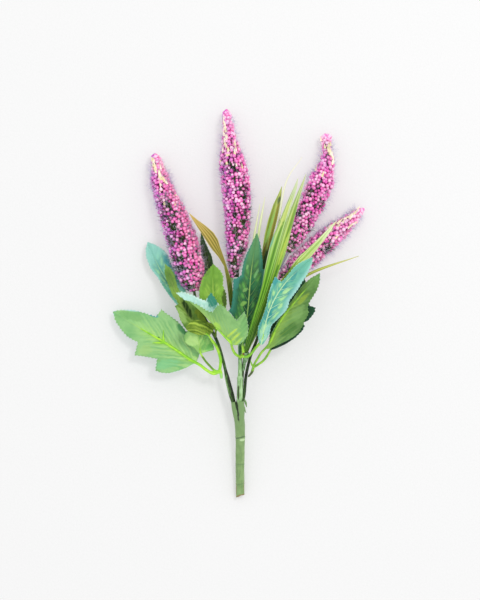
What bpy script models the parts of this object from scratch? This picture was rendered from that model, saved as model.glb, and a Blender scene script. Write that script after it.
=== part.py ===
"""An artificial flower spray lying on a table: four pink bead spikes, cloth leaves and grass on one stem.

Metres, +Z up. The spray lies along Y with its cut end towards -Y, and the table is the plane Z = 0.
"""

from math import cos, pi, radians, sin

import bmesh
import bpy
from mathutils import Matrix, Vector

MM = 0.001
UP = Vector((0, 0, 1))

# Places are (across, along, height) in millimetres, as they look from EYE_HEIGHT above the table over
# the point that is 0, 0. What lies higher looks farther out, so it is drawn in by its share of height.
EYE_HEIGHT = 1900
MIDDLE_HEIGHT = 35
# The middle of the spray's outline on the table, which becomes the origin.
MIDDLE_ACROSS = -1.25
MIDDLE_ALONG = -3.4

# Touching pieces keep this much room between their meshes.
GAP = 0.3
CLOTH = 0.6
BLADE = 0.5

WELD = 1e-5
SHARP_ANGLE = 40


def place(across, along, height):
    """A place over the table in metres, from how it looks from above."""
    nearer = (EYE_HEIGHT - height) / (EYE_HEIGHT - MIDDLE_HEIGHT)
    return Vector((across * nearer - MIDDLE_ACROSS, along * nearer - MIDDLE_ALONG, height)) * MM


def blend(knots, share):
    """Reads a smooth curve through evenly spaced knots (numbers or vectors) at a share of its length."""
    spans = len(knots) - 1
    index = min(int(share * spans), spans - 1)
    t = share * spans - index
    p1, p2 = knots[index], knots[index + 1]
    p0 = knots[index - 1] if index else p1 + p1 - p2
    p3 = knots[index + 2] if index + 2 <= spans else p2 + p2 - p1
    bend = 2 * p0 - 5 * p1 + 4 * p2 - p3
    turn = 3 * p1 - p0 - 3 * p2 + p3
    return (2 * p1 + t * (p2 - p0) + t * t * bend + t * t * t * turn) * 0.5


def between(table, share):
    """Reads a table of (share, value) rows, straight from row to row."""
    for (s0, v0), (s1, v1) in zip(table, table[1:]):
        if share <= s1:
            return v0 + (v1 - v0) * (share - s0) / (s1 - s0)
    return table[-1][1]


class Spine:
    """The centre line of a long piece, with even shares of its length."""

    STEPS = 60

    def __init__(self, places, placed=False):
        knots = places if placed else [place(*p) for p in places]
        self.points = [blend(knots, k / self.STEPS) for k in range(self.STEPS + 1)]
        self.reach = [0.0]
        for before, after in zip(self.points, self.points[1:]):
            self.reach.append(self.reach[-1] + (after - before).length)
        self.length = self.reach[-1]

    def at(self, share):
        goal = share * self.length
        for k in range(self.STEPS):
            if goal <= self.reach[k + 1] or k == self.STEPS - 1:
                part = (goal - self.reach[k]) / (self.reach[k + 1] - self.reach[k])
                return self.points[k].lerp(self.points[k + 1], part)

    def frame(self, share, roll=0.0):
        """The place, the way ahead, the right-hand side and the front, rolled by degrees about the way."""
        step = 0.01
        ahead = (self.at(min(share + step, 1)) - self.at(max(share - step, 0))).normalized()
        front = (UP - ahead * UP.dot(ahead)).normalized()
        front = Matrix.Rotation(radians(roll), 3, ahead) @ front
        return self.at(share), ahead, ahead.cross(front), front


def finish(name, mesh, colour, roughness=0.6, metallic=0.0):
    """Makes an object of a bmesh, with its own material."""
    data = bpy.data.meshes.new(name)
    mesh.to_mesh(data)
    mesh.free()
    data.shade_smooth()
    data.set_sharp_from_angle(angle=radians(SHARP_ANGLE))
    thing = bpy.data.objects.new(name, data)
    bpy.context.collection.objects.link(thing)
    material = bpy.data.materials.new(name)
    material.use_nodes = True
    shader = material.node_tree.nodes["Principled BSDF"]
    shader.inputs["Base Color"].default_value = (*colour, 1)
    shader.inputs["Roughness"].default_value = roughness
    shader.inputs["Metallic"].default_value = metallic
    data.materials.append(material)
    return thing


def turned(name, spine, profile, sides, colour, slant=0.0, oval=1.0, **finish_values):
    """Spins a profile of (share, radius) points, then bends it along a spine. It ends on the axis or meets.

    A slant leans the first ring, as a slanting cut does, and oval stretches the piece towards its front.
    """
    mesh = bmesh.new()
    points = [mesh.verts.new((share, radius, 0)) for share, radius in profile]
    edges = [mesh.edges.new(pair) for pair in zip(points, points[1:])]
    if profile[0][1]:
        edges.append(mesh.edges.new((points[-1], points[0])))
    bmesh.ops.spin(mesh, geom=points + edges, axis=(1, 0, 0), angle=2 * pi, steps=sides, use_merge=True)
    bmesh.ops.remove_doubles(mesh, verts=mesh.verts, dist=WELD)
    bmesh.ops.recalc_face_normals(mesh, faces=mesh.faces)
    frames = {}
    for vertex in mesh.verts:
        share, aside, above = vertex.co
        if share not in frames:
            frames[share] = spine.frame(share)
        centre, ahead, side, front = frames[share]
        lean = 0 if share else slant * aside
        vertex.co = centre + (side * aside + front * above * oval + ahead * lean) * MM
    if mesh.calc_volume(signed=True) < 0:
        bmesh.ops.reverse_faces(mesh, faces=mesh.faces)
    return finish(name, mesh, colour, **finish_values)


def surface(spine, roll, left, right, half_width, share, over):
    """A point of a folded strip: over runs from -1 at its left edge to 1 at its right edge."""
    centre, ahead, side, front = spine.frame(share, roll[0] + (roll[1] - roll[0]) * share)
    part = left if over < 0 else right
    fold = radians(part["fold"][0] + (part["fold"][1] - part["fold"][0]) * share)
    out = side * cos(fold) * over + front * sin(fold) * abs(over) - ahead * part["sweep"] * abs(over)
    return centre + out * half_width


def half(outline=(), width=1.0, fold=(0, 0), sweep=0.0):
    """One half of a leaf or blade: its outline and width, its fold towards the front and its lean back."""
    return dict(outline=outline, width=width, fold=fold, sweep=sweep)


def strip(name, shares, columns, shape, thickness, colour, **finish_values):
    """A thin sheet: a grid whose points go where shape(share, over) says, given its thickness."""
    mesh = bmesh.new()
    rows = len(shares) - 1
    bmesh.ops.create_grid(mesh, x_segments=rows, y_segments=columns, size=1)
    for vertex in mesh.verts:
        row = round((vertex.co.x + 1) / 2 * rows)
        vertex.co = shape(shares[row], vertex.co.y)
    thing = finish(name, mesh, colour, **finish_values)
    wall = thing.modifiers.new("thickness", "SOLIDIFY")
    wall.thickness = thickness * MM
    wall.offset = 0
    return thing


# The main stem: a moulded tube on a steel wire, cut at a slant, with a cup at its top for the branches.
STEM_PLACES = [(0.4, -166, 4.0), (0.4, -144, 6.6), (0.3, -119, 9.8), (-0.4, -104, 12.2), (-2.1, -91, 14.6)]
STEM_SIDES = 16
THIN_SIDES = 8
STEM_RADII = [(0.0, 4.0), (0.4, 3.9), (0.65, 4.1), (0.82, 4.6), (0.93, 5.3), (1.0, 5.6)]
STEM_BORE = 1.35
STEM_COLOUR = (0.26, 0.42, 0.14)
CUP_RADIUS = 4.15
CUP_FLOOR_RADIUS = 3.95
CUP_FLOOR = 0.85
CUT_SLANT = 0.5
STEM_BEND = 0.4
WIRE_RADIUS = 1.0
WIRE_END = 0.84
WIRE_COLOUR = (0.3, 0.22, 0.15)
WIRE_ROUGHNESS = 0.45


def main_stem():
    spine = Spine(STEM_PLACES)
    cup = [(1.0, CUP_RADIUS), (CUP_FLOOR, CUP_FLOOR_RADIUS)]
    bore = [(CUP_FLOOR, STEM_BORE), (STEM_BEND, STEM_BORE), (0.0, STEM_BORE)]
    turned("main_stem", spine, STEM_RADII + cup + bore, STEM_SIDES, STEM_COLOUR, slant=CUT_SLANT)
    side = [(0.0, WIRE_RADIUS), (STEM_BEND, WIRE_RADIUS), (WIRE_END, WIRE_RADIUS)]
    wire = [(0.0, 0.0)] + side + [(WIRE_END, 0.0)]
    metal = dict(roughness=WIRE_ROUGHNESS, metallic=1.0)
    turned("stem_wire", spine, wire, THIN_SIDES, WIRE_COLOUR, slant=CUT_SLANT, **metal)


# The branch stems run from the cup to the spikes. Their feet stand in a square in the cup, and each one
# comes in straight over the last stretch and plugs into the socket of its spike's core.
STRAIGHT = 10
PLUG = 4
BRANCH_STEPS = 11
BRANCHES = {
    "left": dict(
        places=[
            (-3.1, -101, 13.2),
            (-4.3, -92, 14.4),
            (-6.6, -83, 15.6),
            (-10.2, -69, 16.5),
            (-14.5, -51, 17.0),
            (-20.0, -34, 17.4),
            (-29.0, -17.5, 17.8),
        ],
        radii=[(0.0, 1.2), (0.08, 1.3), (0.18, 2.2), (0.5, 1.8), (0.8, 1.4), (1.0, 1.3)],
        colour=(0.06, 0.10, 0.03),
    ),
    "centre": dict(
        places=[
            (-1.2, -101, 15.2),
            (-2.0, -92, 16.8),
            (-0.3, -83, 18.0),
            (0.0, -66, 19.0),
            (0.0, -49, 19.4),
            (-0.8, -28, 19.6),
            (-2.4, -8, 20.2),
        ],
        radii=[(0.0, 1.2), (0.08, 1.3), (0.18, 1.9), (0.32, 2.1), (0.45, 1.6), (1.0, 1.3)],
        colour=(0.16, 0.28, 0.10),
    ),
    "inner": dict(
        places=[
            (-1.2, -101, 11.2),
            (-2.0, -92, 12.0),
            (1.0, -80, 13.4),
            (2.6, -58, 14.4),
            (6.0, -36, 15.2),
            (14.6, -11, 16.0),
            (24.0, 12, 16.8),
        ],
        radii=[(0.0, 1.2), (0.3, 1.2), (1.0, 1.2)],
        colour=(0.10, 0.18, 0.05),
    ),
    "right": dict(
        places=[
            (0.9, -101, 13.2),
            (-0.1, -92, 14.4),
            (3.3, -82, 15.8),
            (5.2, -64, 16.8),
            (9.2, -47, 17.6),
            (15.2, -31, 18.2),
            (19.6, -10, 18.8),
        ],
        radii=[(0.0, 1.2), (0.3, 1.3), (1.0, 1.2)],
        colour=(0.03, 0.06, 0.02),
    ),
}


# The flower spikes: a bristled core with a socket for its branch stem, in a cover of foam beads.
# widths are (share from the base, share of the full radius) and places run from base to tip.
SPIKES = {
    "left": dict(
        radius=13.2,
        places=[(-38.9, 7.6, 17.2), (-45.8, 38, 14.8), (-54.6, 66, 12.4),
                (-66.2, 96, 10.0), (-72, 123.5, 8.4)],
        widths=[(0, 0.25), (0.07, 0.62), (0.16, 0.84), (0.28, 1), (0.48, 0.98), (0.6, 0.87), (0.72, 0.77),
                (0.82, 0.68), (0.92, 0.42), (0.98, 0.27), (1, 0.16)],
    ),
    "centre": dict(
        radius=13.2,
        places=[(-3, 19.6, 19.4), (-2.2, 55, 16.2), (-3.0, 90, 14.0),
                (-7.8, 126, 11.2), (-11.5, 161.5, 9.0)],
        widths=[(0, 0.25), (0.06, 0.5), (0.16, 0.8), (0.3, 0.88), (0.46, 0.98), (0.6, 1), (0.68, 0.92),
                (0.78, 0.64), (0.88, 0.44), (0.97, 0.3), (1, 0.16)],
    ),
    "inner": dict(
        radius=11.6,
        places=[(40.8, 40.8, 17.0), (52.3, 63.8, 13.8), (64.0, 88, 12.1),
                (72.0, 115, 10.2), (72.7, 141, 8.2)],
        widths=[(0, 0.28), (0.1, 0.68), (0.25, 0.88), (0.42, 1), (0.6, 1), (0.69, 0.86), (0.77, 0.58),
                (0.86, 0.42), (0.95, 0.42), (0.985, 0.36), (1, 0.2)],
    ),
    "right": dict(
        radius=11.2,
        places=[(33.8, 16.3, 17.0), (50, 30.5, 12.7), (68, 46, 11.1), (87, 62, 9.2), (104.6, 77, 6.6)],
        widths=[(0, 0.29), (0.1, 0.7), (0.25, 0.93), (0.4, 1), (0.58, 0.96), (0.72, 0.82), (0.84, 0.62),
                (0.94, 0.42), (0.98, 0.34), (1, 0.2)],
    ),
}


def branch_stems():
    for name, branch in BRANCHES.items():
        base, ahead, _, _ = Spine(SPIKES[name]["places"]).frame(0)
        route = [place(*p) for p in branch["places"]]
        route += [base - ahead * STRAIGHT * MM, base + ahead * PLUG * MM]
        shares = {k / BRANCH_STEPS for k in range(BRANCH_STEPS + 1)}
        shares |= {share for share, _ in branch["radii"]}
        sides = [(share, between(branch["radii"], share)) for share in sorted(shares)]
        outline = [(0, 0)] + sides + [(1, 0)]
        turned("branch_stem_" + name, Spine(route, placed=True), outline, THIN_SIDES, branch["colour"])


SPIKE_SIDES = 14
SOCKET_RADIUS = 1.65
SOCKET_DEPTH = 7
CORE_END = 0.93
CORE_RADII = [(0.0, 2.2), (0.3, 1.9), (0.7, 1.2), (CORE_END, 0.7)]
CORE_ROOM = 0.42
TIP_ROOM = 0.01
CORE_COLOUR = (0.02, 0.07, 0.015)
BEAD_COLOUR = (0.78, 0.14, 0.52)
BEAD_ROUGHNESS = 0.7


def flower_spikes():
    for name, spike in SPIKES.items():
        spine = Spine(spike["places"])
        socket = SOCKET_DEPTH * MM / spine.length
        inside = [(socket, 0), (socket, SOCKET_RADIUS), (0.0, SOCKET_RADIUS)]
        core = inside + CORE_RADII + [(CORE_END, 0)]
        turned("spike_core_" + name, spine, core, THIN_SIDES, CORE_COLOUR)
        # The cover's hollow follows the core with some room, and is closed just past the core's tip.
        hollow = [(share, radius + CORE_ROOM) for share, radius in reversed(CORE_RADII)]
        hollow[0] = (CORE_END + TIP_ROOM, hollow[0][1])
        cover = [(share, part * spike["radius"]) for share, part in spike["widths"]]
        profile = [(CORE_END + TIP_ROOM, 0)] + hollow + cover + [(1, 0)]
        turned("spike_beads_" + name, spine, profile, SPIKE_SIDES, BEAD_COLOUR, roughness=BEAD_ROUGHNESS)


# A leaf's outline: half its width for each share of its length, both as shares of the length. The lobed
# one has two pairs of lobes, whose corners point to the tip, with a notch after each.
LOBED = [
    (0.0, 0.022),
    (0.07, 0.143),
    (0.16, 0.247),
    (0.3, 0.296),
    (0.36, 0.19),
    (0.46, 0.232),
    (0.571, 0.274),
    (0.62, 0.145),
    (0.75, 0.145),
    (0.874, 0.101),
    (0.96, 0.052),
    (1.0, 0.012),
]
ONE_LOBE = [
    (0.0, 0.022),
    (0.16, 0.065),
    (0.36, 0.09),
    (0.46, 0.14),
    (0.571, 0.24),
    (0.62, 0.125),
    (0.75, 0.12),
    (0.874, 0.095),
    (0.96, 0.052),
    (1.0, 0.012),
]
LATE_LOBE = [(0.0, 0.022), (0.16, 0.05), (0.36, 0.075), (0.55, 0.09),
             (0.67, 0.118), (0.71, 0.075), (0.82, 0.075),
             (0.92, 0.05), (1.0, 0.012)]
PLAIN = [(0.0, 0.022), (0.1, 0.13), (0.22, 0.19), (0.37, 0.22), (0.55, 0.18), (0.7, 0.135), (0.82, 0.1),
         (0.92, 0.06), (1.0, 0.012)]
BROAD_TIP = [(0.0, 0.022), (0.16, 0.05), (0.46, 0.085), (0.75, 0.115),
             (0.874, 0.11), (0.96, 0.07), (1.0, 0.015)]
ROUND = [(0.0, 0.022), (0.16, 0.1), (0.46, 0.155), (0.7, 0.185), (0.82, 0.165), (0.92, 0.11), (1.0, 0.02)]
# Each leaf: places from base to tip, roll at base and tip (0 shows the printed front, 180 the back), and
# its two halves, left and right as seen from the front with the tip away.
LEAVES = {
    "left_broad": dict(
        places=[(-38.2, -53.5, 20.0), (-61, -38, 17.5), (-84, -24.5, 13.5), (-108, -10.2, 8.0)],
        roll=(180, 182), left=half(LOBED, 1.0, (8, 8)), right=half(LOBED, 1.0, (8, 8)), back=True,
    ),
    "left_outer": dict(
        places=[(-41.5, -17.0, 16.0), (-57, 8, 13.0), (-69.5, 29, 9.5), (-78.5, 49.3, 6.0)],
        roll=(10, 10), left=half(BROAD_TIP, 0.8, (-20, 0)), right=half(BROAD_TIP, 1.0, (10, 10)),
        back=False,
    ),
    "left_inner": dict(
        places=[(-34.5, -27.5, 25.5), (-46, -10, 26.5), (-56, 10, 25.0), (-63.6, 30.6, 21.0)],
        roll=(178, 180), left=half(PLAIN, 0.52, (8, 8)), right=half(ONE_LOBE, 0.5, (8, 8)), back=True,
    ),
    "left_shaded": dict(
        places=[(-19.5, -15.3, 12.5), (-23.5, 8, 8.0), (-28, 32, 5.5), (-33, 58.5, 4.0)],
        roll=(0, 0), left=half(PLAIN, 0.35, (4, 4)), right=half(PLAIN, 0.4, (8, 8)), back=False,
    ),
    "rounded": dict(
        places=[(-20.6, -28.0, 24.5), (-22, -8, 28.5), (-23, 12, 31.0), (-22.9, 30.6, 30.5)],
        roll=(0, 0), left=half(ROUND, 1.0, (10, 10)), right=half(ROUND, 1.0, (10, 10)), back=False,
    ),
    "folded": dict(
        places=[(-6.8, -37.4, 43.0), (-22, -22, 45.5), (-38, -5.5, 42.5), (-54.4, 6.0, 36.0)],
        roll=(90, 90), left=half(LOBED, 1.35, (70, 20), 0.35), right=half(LOBED, 1.0, (78, 88)), back=True,
    ),
    "curled": dict(
        places=[(-26.3, -30.6, 36.0), (-32, -26, 43.0), (-40, -22, 48.0), (-46, -23, 51.5)],
        roll=(150, 150), left=half(PLAIN, 1.4, (20, 20)), right=half(PLAIN, 1.5, (20, 20)), back=True,
    ),
    "small": dict(
        places=[(-33.5, -45.5, 25.5), (-34.5, -38, 30.0), (-36, -29, 32.5), (-38, -19, 31.5)],
        roll=(180, 180), left=half(LOBED, 1.5, (15, 15)), right=half(LOBED, 1.6, (15, 15)), back=True,
    ),
    "centre_dark": dict(
        places=[(1.9, -39.5, 28.6), (6.5, -10, 33.2), (9.5, 24, 37.5), (14.4, 56.9, 40.0)],
        roll=(0, 0), left=half(LOBED, 0.66, (8, 12)), right=half(LOBED, 0.6, (8, 12)), back=False,
    ),
    "right_front": dict(
        places=[(17.8, -38.2, 39.5), (25, -9, 53.0), (38.5, 14.5, 56.5), (62.0, 36.5, 51.0)],
        roll=(4, -4), left=half(LATE_LOBE, 1.0, (10, 10)), right=half(PLAIN, 0.62, (-12, -6)), back=False,
    ),
    "right_back": dict(
        places=[(22.9, -41.6, 34.5), (34, -18.5, 39.5), (48, 0.0, 41.5), (68.0, 22.9, 41.5)],
        roll=(180, 180), left=half(PLAIN, 1.05, (14, 14)), right=half(PLAIN, 0.45, (14, 14)), back=True,
    ),
    "right_shaded": dict(
        places=[(26.3, -42.5, 27.0), (36, -18, 27.5), (45, 4.5, 28.0), (53.5, 28.9, 28.5)],
        roll=(0, 0), left=half(PLAIN, 0.45, (3, 3)), right=half(ONE_LOBE, 1.15, (3, 3)), back=False,
    ),
}
LEAF_COLUMNS = 4
LEAF_ROUGHNESS = 0.75
LEAF_FRONT = (0.10, 0.36, 0.26)
LEAF_BACK = (0.28, 0.48, 0.18)


def leaf_shape(leaf, spine):
    def shape(share, over):
        side = leaf["left"] if over < 0 else leaf["right"]
        half_width = between(side["outline"], share) * side["width"] * spine.length
        return surface(spine, leaf["roll"], leaf["left"], leaf["right"], half_width, share, over)

    return shape


def cloth_leaves():
    for name, leaf in LEAVES.items():
        outlines = leaf["left"]["outline"] + leaf["right"]["outline"]
        shares = sorted({share for share, _ in outlines})
        shape = leaf_shape(leaf, Spine(leaf["places"]))
        colour = LEAF_BACK if leaf["back"] else LEAF_FRONT
        strip("leaf_" + name, shares, LEAF_COLUMNS, shape, CLOTH, colour, roughness=LEAF_ROUGHNESS)


# A whorl: one moulding with a foot on its branch and a stalk to each leaf, which runs on as the midrib
# behind the cloth. foot is where the stalks start, stalks give the places on the way to each leaf.
WHORLS = {
    "left_lower": dict(
        foot=[(-16.0, -66.6, 18.6), (-17.2, -62.5, 19.2), (-17.4, -58.0, 19.4)],
        stalks={
            "left_broad": [(-22.6, -62.6, 20.4), (-29, -59.0, 21.2)],
            "small": [(-22.6, -59.0, 22.0), (-29, -52.0, 25.6)],
            "curled": [(-16.8, -52.0, 19.6), (-18.6, -43.0, 26.0), (-22.6, -36.0, 31.5)],
        },
    ),
    "left_upper": dict(
        foot=[(-23.2, -28.4, 21.2), (-23.8, -25.6, 21.6), (-24.8, -22.4, 21.2)],
        stalks={
            "left_outer": [(-29.4, -23.4, 19.4), (-35.6, -21.2, 16.6)],
            "left_inner": [(-27.0, -26.6, 24.2), (-30.2, -28.4, 26.2)],
            "rounded": [(-22.4, -28.4, 23.0), (-20.8, -31.4, 23.4)],
            "left_shaded": [(-19.9, -24.6, 19.0), (-19.4, -21.0, 13.8)],
        },
    ),
    "centre": dict(
        foot=[(0.0, -49.6, 22.9), (0.0, -47.6, 23.5), (0.2, -45.6, 24.6)],
        stalks={
            "folded": [(-3.4, -47.0, 27.0), (-6.0, -43.6, 34.0)],
            "centre_dark": [(0.3, -44.8, 26.4)],
            "right_front": [(3.0, -48.0, 28.8), (9.0, -46.6, 31.6), (14.0, -42.0, 35.4)],
        },
    ),
    "right": dict(
        foot=[(7.1, -65.2, 19.2), (10.0, -61.6, 20.8), (11.2, -58.0, 21.8)],
        stalks={
            "right_back": [(14.4, -52.6, 27.0), (18.4, -47.6, 33.0)],
            "right_shaded": [(16.4, -53.6, 23.4), (22.6, -48.4, 25.0)],
        },
    ),
}
FOOT_OUTLINE = [(0, 0), (0, 1.4), (0.5, 1.6), (1, 1.3), (1, 0)]
STALKS_START = 0.6
WHORL_COLOUR = (0.24, 0.55, 0.05)
STALK_RADII = [(0.0, 1.3), (0.35, 1.0), (0.6, 0.8), (1.0, 0.5)]
STALK_STEPS = 10
STALK_SIDES = 6
RIB_SHARES = (-0.05, 0.04, 0.18, 0.34, 0.48)
RIB_BEHIND = 0.9
RIB_DEPTH = CLOTH / 2 + GAP + RIB_BEHIND


def rib_points(leaf):
    """Points behind the leaf's fold, in metres, where its midrib lies and comes in from its stalk."""
    spine = Spine(leaf["places"])
    found = []
    for share in RIB_SHARES:
        roll = leaf["roll"][0] + (leaf["roll"][1] - leaf["roll"][0]) * share
        centre, ahead, _, front = spine.frame(max(share, 0), roll)
        found.append(centre + ahead * min(share, 0) * spine.length - front * RIB_DEPTH * MM)
    return found


def leaf_whorls():
    shares = [k / STALK_STEPS for k in range(STALK_STEPS + 1)]
    outline = [(0, 0)] + [(share, between(STALK_RADII, share)) for share in shares] + [(1, 0)]
    for name, whorl in WHORLS.items():
        foot = Spine(whorl["foot"])
        body = turned("leaf_whorl_" + name, foot, FOOT_OUTLINE, THIN_SIDES, WHORL_COLOUR)
        for leaf_name, places in whorl["stalks"].items():
            route = [foot.at(STALKS_START)] + [place(*p) for p in places] + rib_points(LEAVES[leaf_name])
            spine = Spine(route, placed=True)
            stalk = turned("stalk_" + leaf_name, spine, outline, STALK_SIDES, WHORL_COLOUR)
            stalk.hide_render = True
            stalk.display_type = "WIRE"
            union = body.modifiers.new("stalk", "BOOLEAN")
            union.operation = "UNION"
            union.object = stalk


# The grass: blades whose roots are stacked in two columns in an oval socket, which has a stub that stands
# on the inner branch stem. Each blade: places from root to tip, half its greatest width, where along it
# that is, and its roll.
ROOTS_ALONG = -45.8
LEFT_COLUMN = 4.15
RIGHT_COLUMN = 5.55
FIRST_LAYER = 21.2
LAYER = 0.8
ROOT_HALF_WIDTH = 0.55
SOCKET_PLACES = [(3.0, -59.5, 17.4), (3.8, -54.5, 19.8), (4.9, -49.0, 22.4), (4.9, -44.5, 22.9)]
SOCKET_OUTSIDE = [(0, 0), (0, 1.2), (0.4, 1.2), (0.72, 2.7), (1.0, 3.1)]
SOCKET_INSIDE = [(1.0, 2.7), (0.8, 2.4), (0.8, 0)]
SOCKET_OVAL = 1.3
SOCKET_SIDES = 10
SOCKET_COLOUR = (0.2, 0.4, 0.1)


def root(column, layer):
    return (column, ROOTS_ALONG, FIRST_LAYER + layer * LAYER)


GRASS = {
    "left": dict(
        places=[root(LEFT_COLUMN, 0), (-3.5, -18, 23.5), (-10.2, 21.2, 27.5),
                (-23, 50, 28.0), (-43.4, 74, 27.5)],
        half_width=2.9, widest=0.75, roll=-10,
    ),
    "thread_left": dict(
        places=[root(LEFT_COLUMN, 1), (6.5, -10, 25.5), (11.0, 45, 29.0), (17.0, 81.6, 28.0)],
        half_width=1.1, widest=0.6, roll=0,
    ),
    "thread_middle": dict(
        places=[root(LEFT_COLUMN, 2), (8.6, -10, 26.8), (15.0, 50, 31.0), (21.2, 87.5, 30.0)],
        half_width=1.1, widest=0.6, roll=0,
    ),
    "olive": dict(
        places=[root(LEFT_COLUMN, 3), (11.5, -12, 28.0), (22.0, 38, 33.5),
                (28.6, 70, 35.0), (35.7, 96.9, 34.0)],
        half_width=3.3, widest=0.62, roll=4,
    ),
    "broad_left": dict(
        places=[root(LEFT_COLUMN, 4), (8.8, -29, 38.0), (19.6, 3, 47.0),
                (31.4, 42, 48.0), (49.3, 103.7, 39.0)],
        half_width=4.8, widest=0.6, roll=4,
    ),
    "thread_right": dict(
        places=[root(RIGHT_COLUMN, 2), (15.0, -12, 30.5), (30.0, 50, 41.0),
                (38.5, 98, 36.0), (52.7, 121.5, 32.0)],
        half_width=1.0, widest=0.7, roll=0,
    ),
    "low_right": dict(
        places=[root(RIGHT_COLUMN, 0), (21.0, -13, 26.6), (42.0, 9.5, 34.0),
                (62, 23.6, 33.0), (101.1, 37.4, 27.0)],
        half_width=1.3, widest=0.6, roll=0,
    ),
    "crossing": dict(
        places=[root(RIGHT_COLUMN, 1), (17.0, -12, 28.5), (35.0, 17, 39.0),
                (58.5, 42.5, 35.0), (80.8, 66.3, 28.0)],
        half_width=4.4, widest=0.68, roll=-6,
    ),
    "broad_right": dict(
        places=[root(RIGHT_COLUMN, 3), (14.2, -27, 36.8), (26.2, 5, 44.5),
                (39.6, 46, 45.5), (56.1, 107.1, 37.0)],
        half_width=4.8, widest=0.55, roll=-6,
    ),
}
BLADE_STEPS = 10
BLADE_COLUMNS = 2
BLADE_COLOUR = (0.34, 0.52, 0.08)
BLADE_FOLD = 8
BLADE_TIP = 0.25
BLADE_SWELL = 1.2
BLADE_ROUGHNESS = 0.5


def blade_shape(blade, spine):
    widest = blade["widest"]
    side = half(fold=(BLADE_FOLD, BLADE_FOLD))

    def shape(share, over):
        if share < widest:
            swell = sin(pi / 2 * share / widest) ** BLADE_SWELL
            half_width = ROOT_HALF_WIDTH + (blade["half_width"] - ROOT_HALF_WIDTH) * swell
        else:
            taper = cos(pi / 2 * (share - widest) / (1 - widest))
            half_width = BLADE_TIP + (blade["half_width"] - BLADE_TIP) * taper
        return surface(spine, (0, blade["roll"]), side, side, half_width * MM, share, over)

    return shape


def grass():
    profile = SOCKET_OUTSIDE + SOCKET_INSIDE
    turned("grass_socket", Spine(SOCKET_PLACES), profile, SOCKET_SIDES, SOCKET_COLOUR, oval=SOCKET_OVAL)
    shares = [k / BLADE_STEPS for k in range(BLADE_STEPS + 1)]
    for name, blade in GRASS.items():
        shape = blade_shape(blade, Spine(blade["places"]))
        node = "grass_blade_" + name
        strip(node, shares, BLADE_COLUMNS, shape, BLADE, BLADE_COLOUR, roughness=BLADE_ROUGHNESS)


def main():
    for thing in list(bpy.data.objects):
        bpy.data.objects.remove(thing, do_unlink=True)
    main_stem()
    branch_stems()
    flower_spikes()
    cloth_leaves()
    leaf_whorls()
    grass()


main()
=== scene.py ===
import random
from math import acos, cos, pi, radians, sin

import bmesh
import bpy
from mathutils import Matrix, Vector


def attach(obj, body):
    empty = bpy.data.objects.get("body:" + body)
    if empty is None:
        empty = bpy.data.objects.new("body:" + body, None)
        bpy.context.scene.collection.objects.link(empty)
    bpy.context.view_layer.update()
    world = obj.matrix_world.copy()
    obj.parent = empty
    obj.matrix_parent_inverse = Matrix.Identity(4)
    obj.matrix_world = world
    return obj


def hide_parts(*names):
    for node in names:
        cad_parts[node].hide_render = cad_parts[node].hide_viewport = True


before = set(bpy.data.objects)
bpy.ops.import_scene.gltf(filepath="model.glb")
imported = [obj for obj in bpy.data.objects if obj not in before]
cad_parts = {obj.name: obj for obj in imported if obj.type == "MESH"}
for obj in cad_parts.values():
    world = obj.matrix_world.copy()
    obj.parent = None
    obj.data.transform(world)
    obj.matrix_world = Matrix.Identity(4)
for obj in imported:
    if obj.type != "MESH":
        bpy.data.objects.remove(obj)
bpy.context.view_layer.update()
MM = 0.001
UP = Vector((0, 0, 1))


# The spray lies on a pale table and is seen from straight above, as the photograph shows it. A place that
# was measured on the photograph is in its points, of 480 by 600, from the upper-left corner.
EYE_HEIGHT = 1900
MIDDLE_HEIGHT = 35
MIDDLE_ACROSS = -1.25
MIDDLE_ALONG = -3.4
POINT = 0.85
PHOTO_MIDDLE = (240, 300)
PHOTO_HEIGHT = 600
FILM = 36
TABLE_SIZE = 6


def place(across, along, height):
    """A place over the table in metres, from how it looks from above, in millimetres."""
    nearer = (EYE_HEIGHT - height) / (EYE_HEIGHT - MIDDLE_HEIGHT)
    return Vector((across * nearer - MIDDLE_ACROSS, along * nearer - MIDDLE_ALONG, height)) * MM


def seen(x, y, height):
    """A place in metres, from its point on the photograph and its height in millimetres."""
    return place((x - PHOTO_MIDDLE[0]) * POINT, (PHOTO_MIDDLE[1] - y) * POINT, height)


def make_object(name, mesh, materials, smooth_angle=50):
    """Makes an object of a finished bmesh, with its materials in order."""
    data = bpy.data.meshes.new(name)
    mesh.to_mesh(data)
    mesh.free()
    data.shade_smooth()
    if smooth_angle:
        data.set_sharp_from_angle(angle=radians(smooth_angle))
    for material in materials:
        data.materials.append(material)
    thing = bpy.data.objects.new(name, data)
    bpy.context.collection.objects.link(thing)
    return thing


def tint(code):
    """The colour of a six-figure code, as the shaders count it."""
    parts = [int(code[k:k + 2], 16) / 255 for k in (0, 2, 4)]
    return [part / 12.92 if part <= 0.04045 else ((part + 0.055) / 1.055) ** 2.4 for part in parts] + [1]


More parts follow.
